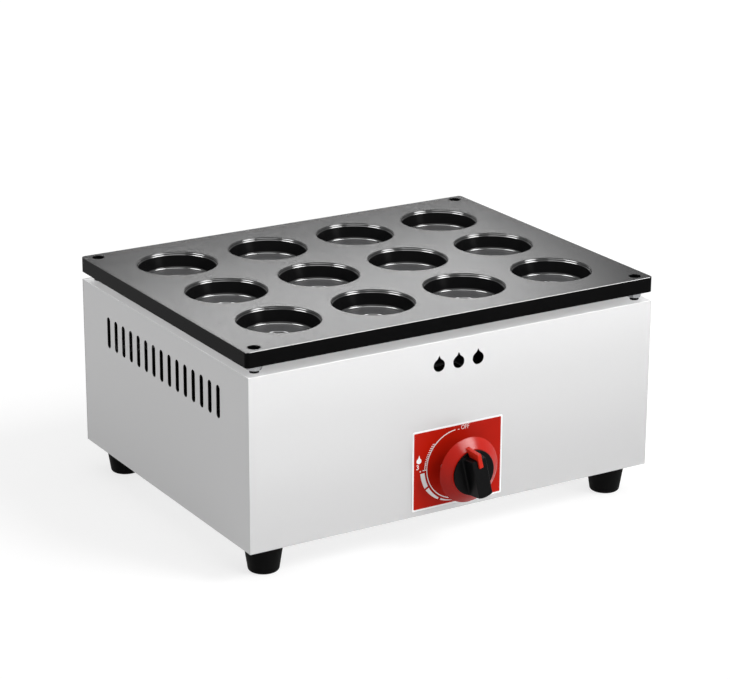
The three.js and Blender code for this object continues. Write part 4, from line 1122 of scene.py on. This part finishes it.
def floor():
    bm = bmesh.new()
    bmesh.ops.create_grid(bm, x_segments=1, y_segments=1, size=FLOOR_SIZE / 2)
    piece = from_bmesh("floor", bm)
    material, shader = node_material("pale_floor", FLOOR_COLOR, 0.9)
    shader.inputs["Specular IOR Level"].default_value = 0.1
    nodes, links = material.node_tree.nodes, material.node_tree.links
    seen = seen_rays(nodes, links)
    glow = nodes.new("ShaderNodeEmission")
    glow.inputs["Color"].default_value = WHITE
    glow.inputs["Strength"].default_value = FLOOR_GLOW
    mix = nodes.new("ShaderNodeMixShader")
    share = nodes.new("ShaderNodeMath")
    share.operation = "MULTIPLY"
    share.inputs[1].default_value = FLOOR_GLOW_SHARE
    links.new(seen, share.inputs[0])
    links.new(share.outputs[0], mix.inputs["Fac"])
    links.new(shader.outputs[0], mix.inputs[1])
    links.new(glow.outputs[0], mix.inputs[2])
    links.new(mix.outputs[0], nodes["Material Output"].inputs["Surface"])
    piece.data.materials.append(material)


def add_light(data, name, power, aim, place=(0, 0, 0)):
    """A light that shines along aim and is never seen by the camera."""
    data.energy = power
    light = bpy.data.objects.new(name, data)
    light.location = place
    light.rotation_euler = aim.to_track_quat("-Z", "Y").to_euler()
    light.visible_camera = False
    scene.collection.objects.link(light)
    return light


def soft_sun(name, toward, spread, power):
    """A wide sun, given by the direction that it shines from and its width in degrees."""
    data = bpy.data.lights.new(name, "SUN")
    data.angle = math.radians(spread)
    return add_light(data, name, power, -Vector(toward))


def softbox(name, place, target, size, power, spread=180):
    data = bpy.data.lights.new(name, "AREA")
    data.shape = "RECTANGLE"
    data.size, data.size_y = size
    data.spread = math.radians(spread)
    return add_light(data, name, power, Vector(target) - Vector(place), place)


def only_on(piece, light):
    """Lets a light reach only one piece, with no shadow on it but the piece's own."""
    lit = bpy.data.collections.new("lit_pieces")
    lit.objects.link(piece)
    light.light_linking.receiver_collection = lit
    blocking = bpy.data.collections.new("blocking_pieces")
    blocking.objects.link(piece)
    light.light_linking.blocker_collection = blocking


def world():
    made = bpy.data.worlds.new("studio")
    scene.world = made
    made.use_nodes = True
    nodes, links = made.node_tree.nodes, made.node_tree.links
    nodes.clear()
    output = nodes.new("ShaderNodeOutputWorld")
    seen = nodes.new("ShaderNodeBackground")
    seen.inputs["Color"].default_value = WHITE
    seen.inputs["Strength"].default_value = SEEN_STRENGTH
    lit = nodes.new("ShaderNodeBackground")
    lit.inputs["Color"].default_value = WHITE
    lit.inputs["Strength"].default_value = AMBIENT_STRENGTH
    mix = nodes.new("ShaderNodeMixShader")
    links.new(seen_rays(nodes, links), mix.inputs["Fac"])
    links.new(lit.outputs[0], mix.inputs[1])
    links.new(seen.outputs[0], mix.inputs[2])
    links.new(mix.outputs[0], output.inputs["Surface"])


floor()
world()
soft_sun("front_sun", toward=(0.5, -0.82, 0.27), spread=22, power=0.65)
soft_sun("key_sun", toward=(0.49, -0.557, 0.668), spread=25, power=1.65)
soft_sun("top_sun", toward=(0.2, -0.25, 1), spread=60, power=0.55)

# The housing's own lights: a fall of light down the front, and light on the flange in the gap
only_on(housing_shell, softbox("front_gridded_softbox", place=(0.22, -0.95, 0.37), target=(0, -0.17, 0.19),
                               size=(1.5, 0.05), power=0.38, spread=GRID_SPREAD))
only_on(housing_shell, soft_sun("gap_sun", toward=(0, 0, 1), spread=5, power=3.7))

# The dish's own light, for the soft highlight on its upper side
only_on(dish_piece, softbox("dish_softbox", place=(0.26, -0.7, 0.6), target=(0, -0.17, 0.1), size=(0.5, 0.3),
                            power=7))

# The plate's own lights: long reflections on its top, and glints on the cups' lips
only_on(plate_piece, softbox("rear_softbox", place=(0.4175, 0.7, 0.55), target=(0.4175, 0.7, 0),
                             size=(0.635, 0.44), power=10.3))
only_on(plate_piece, softbox("ceiling_softbox", place=(0.3, 1.12, 0.6), target=(0.3, 1.12, 0),
                             size=(1.3, 0.6), power=1.3))
only_on(plate_piece, softbox("overhead_softbox", place=(-0.1, -0.1, 1.2), target=(0, 0, 0), size=(0.7, 0.7),
                             power=11))
only_on(plate_piece, soft_sun("left_lip_sun", toward=(0.466, -0.33, 0.82), spread=26, power=5))
only_on(plate_piece, soft_sun("right_lip_sun", toward=(-0.507, 0.263, 0.818), spread=26, power=5))

scene.view_settings.view_transform = "Standard"
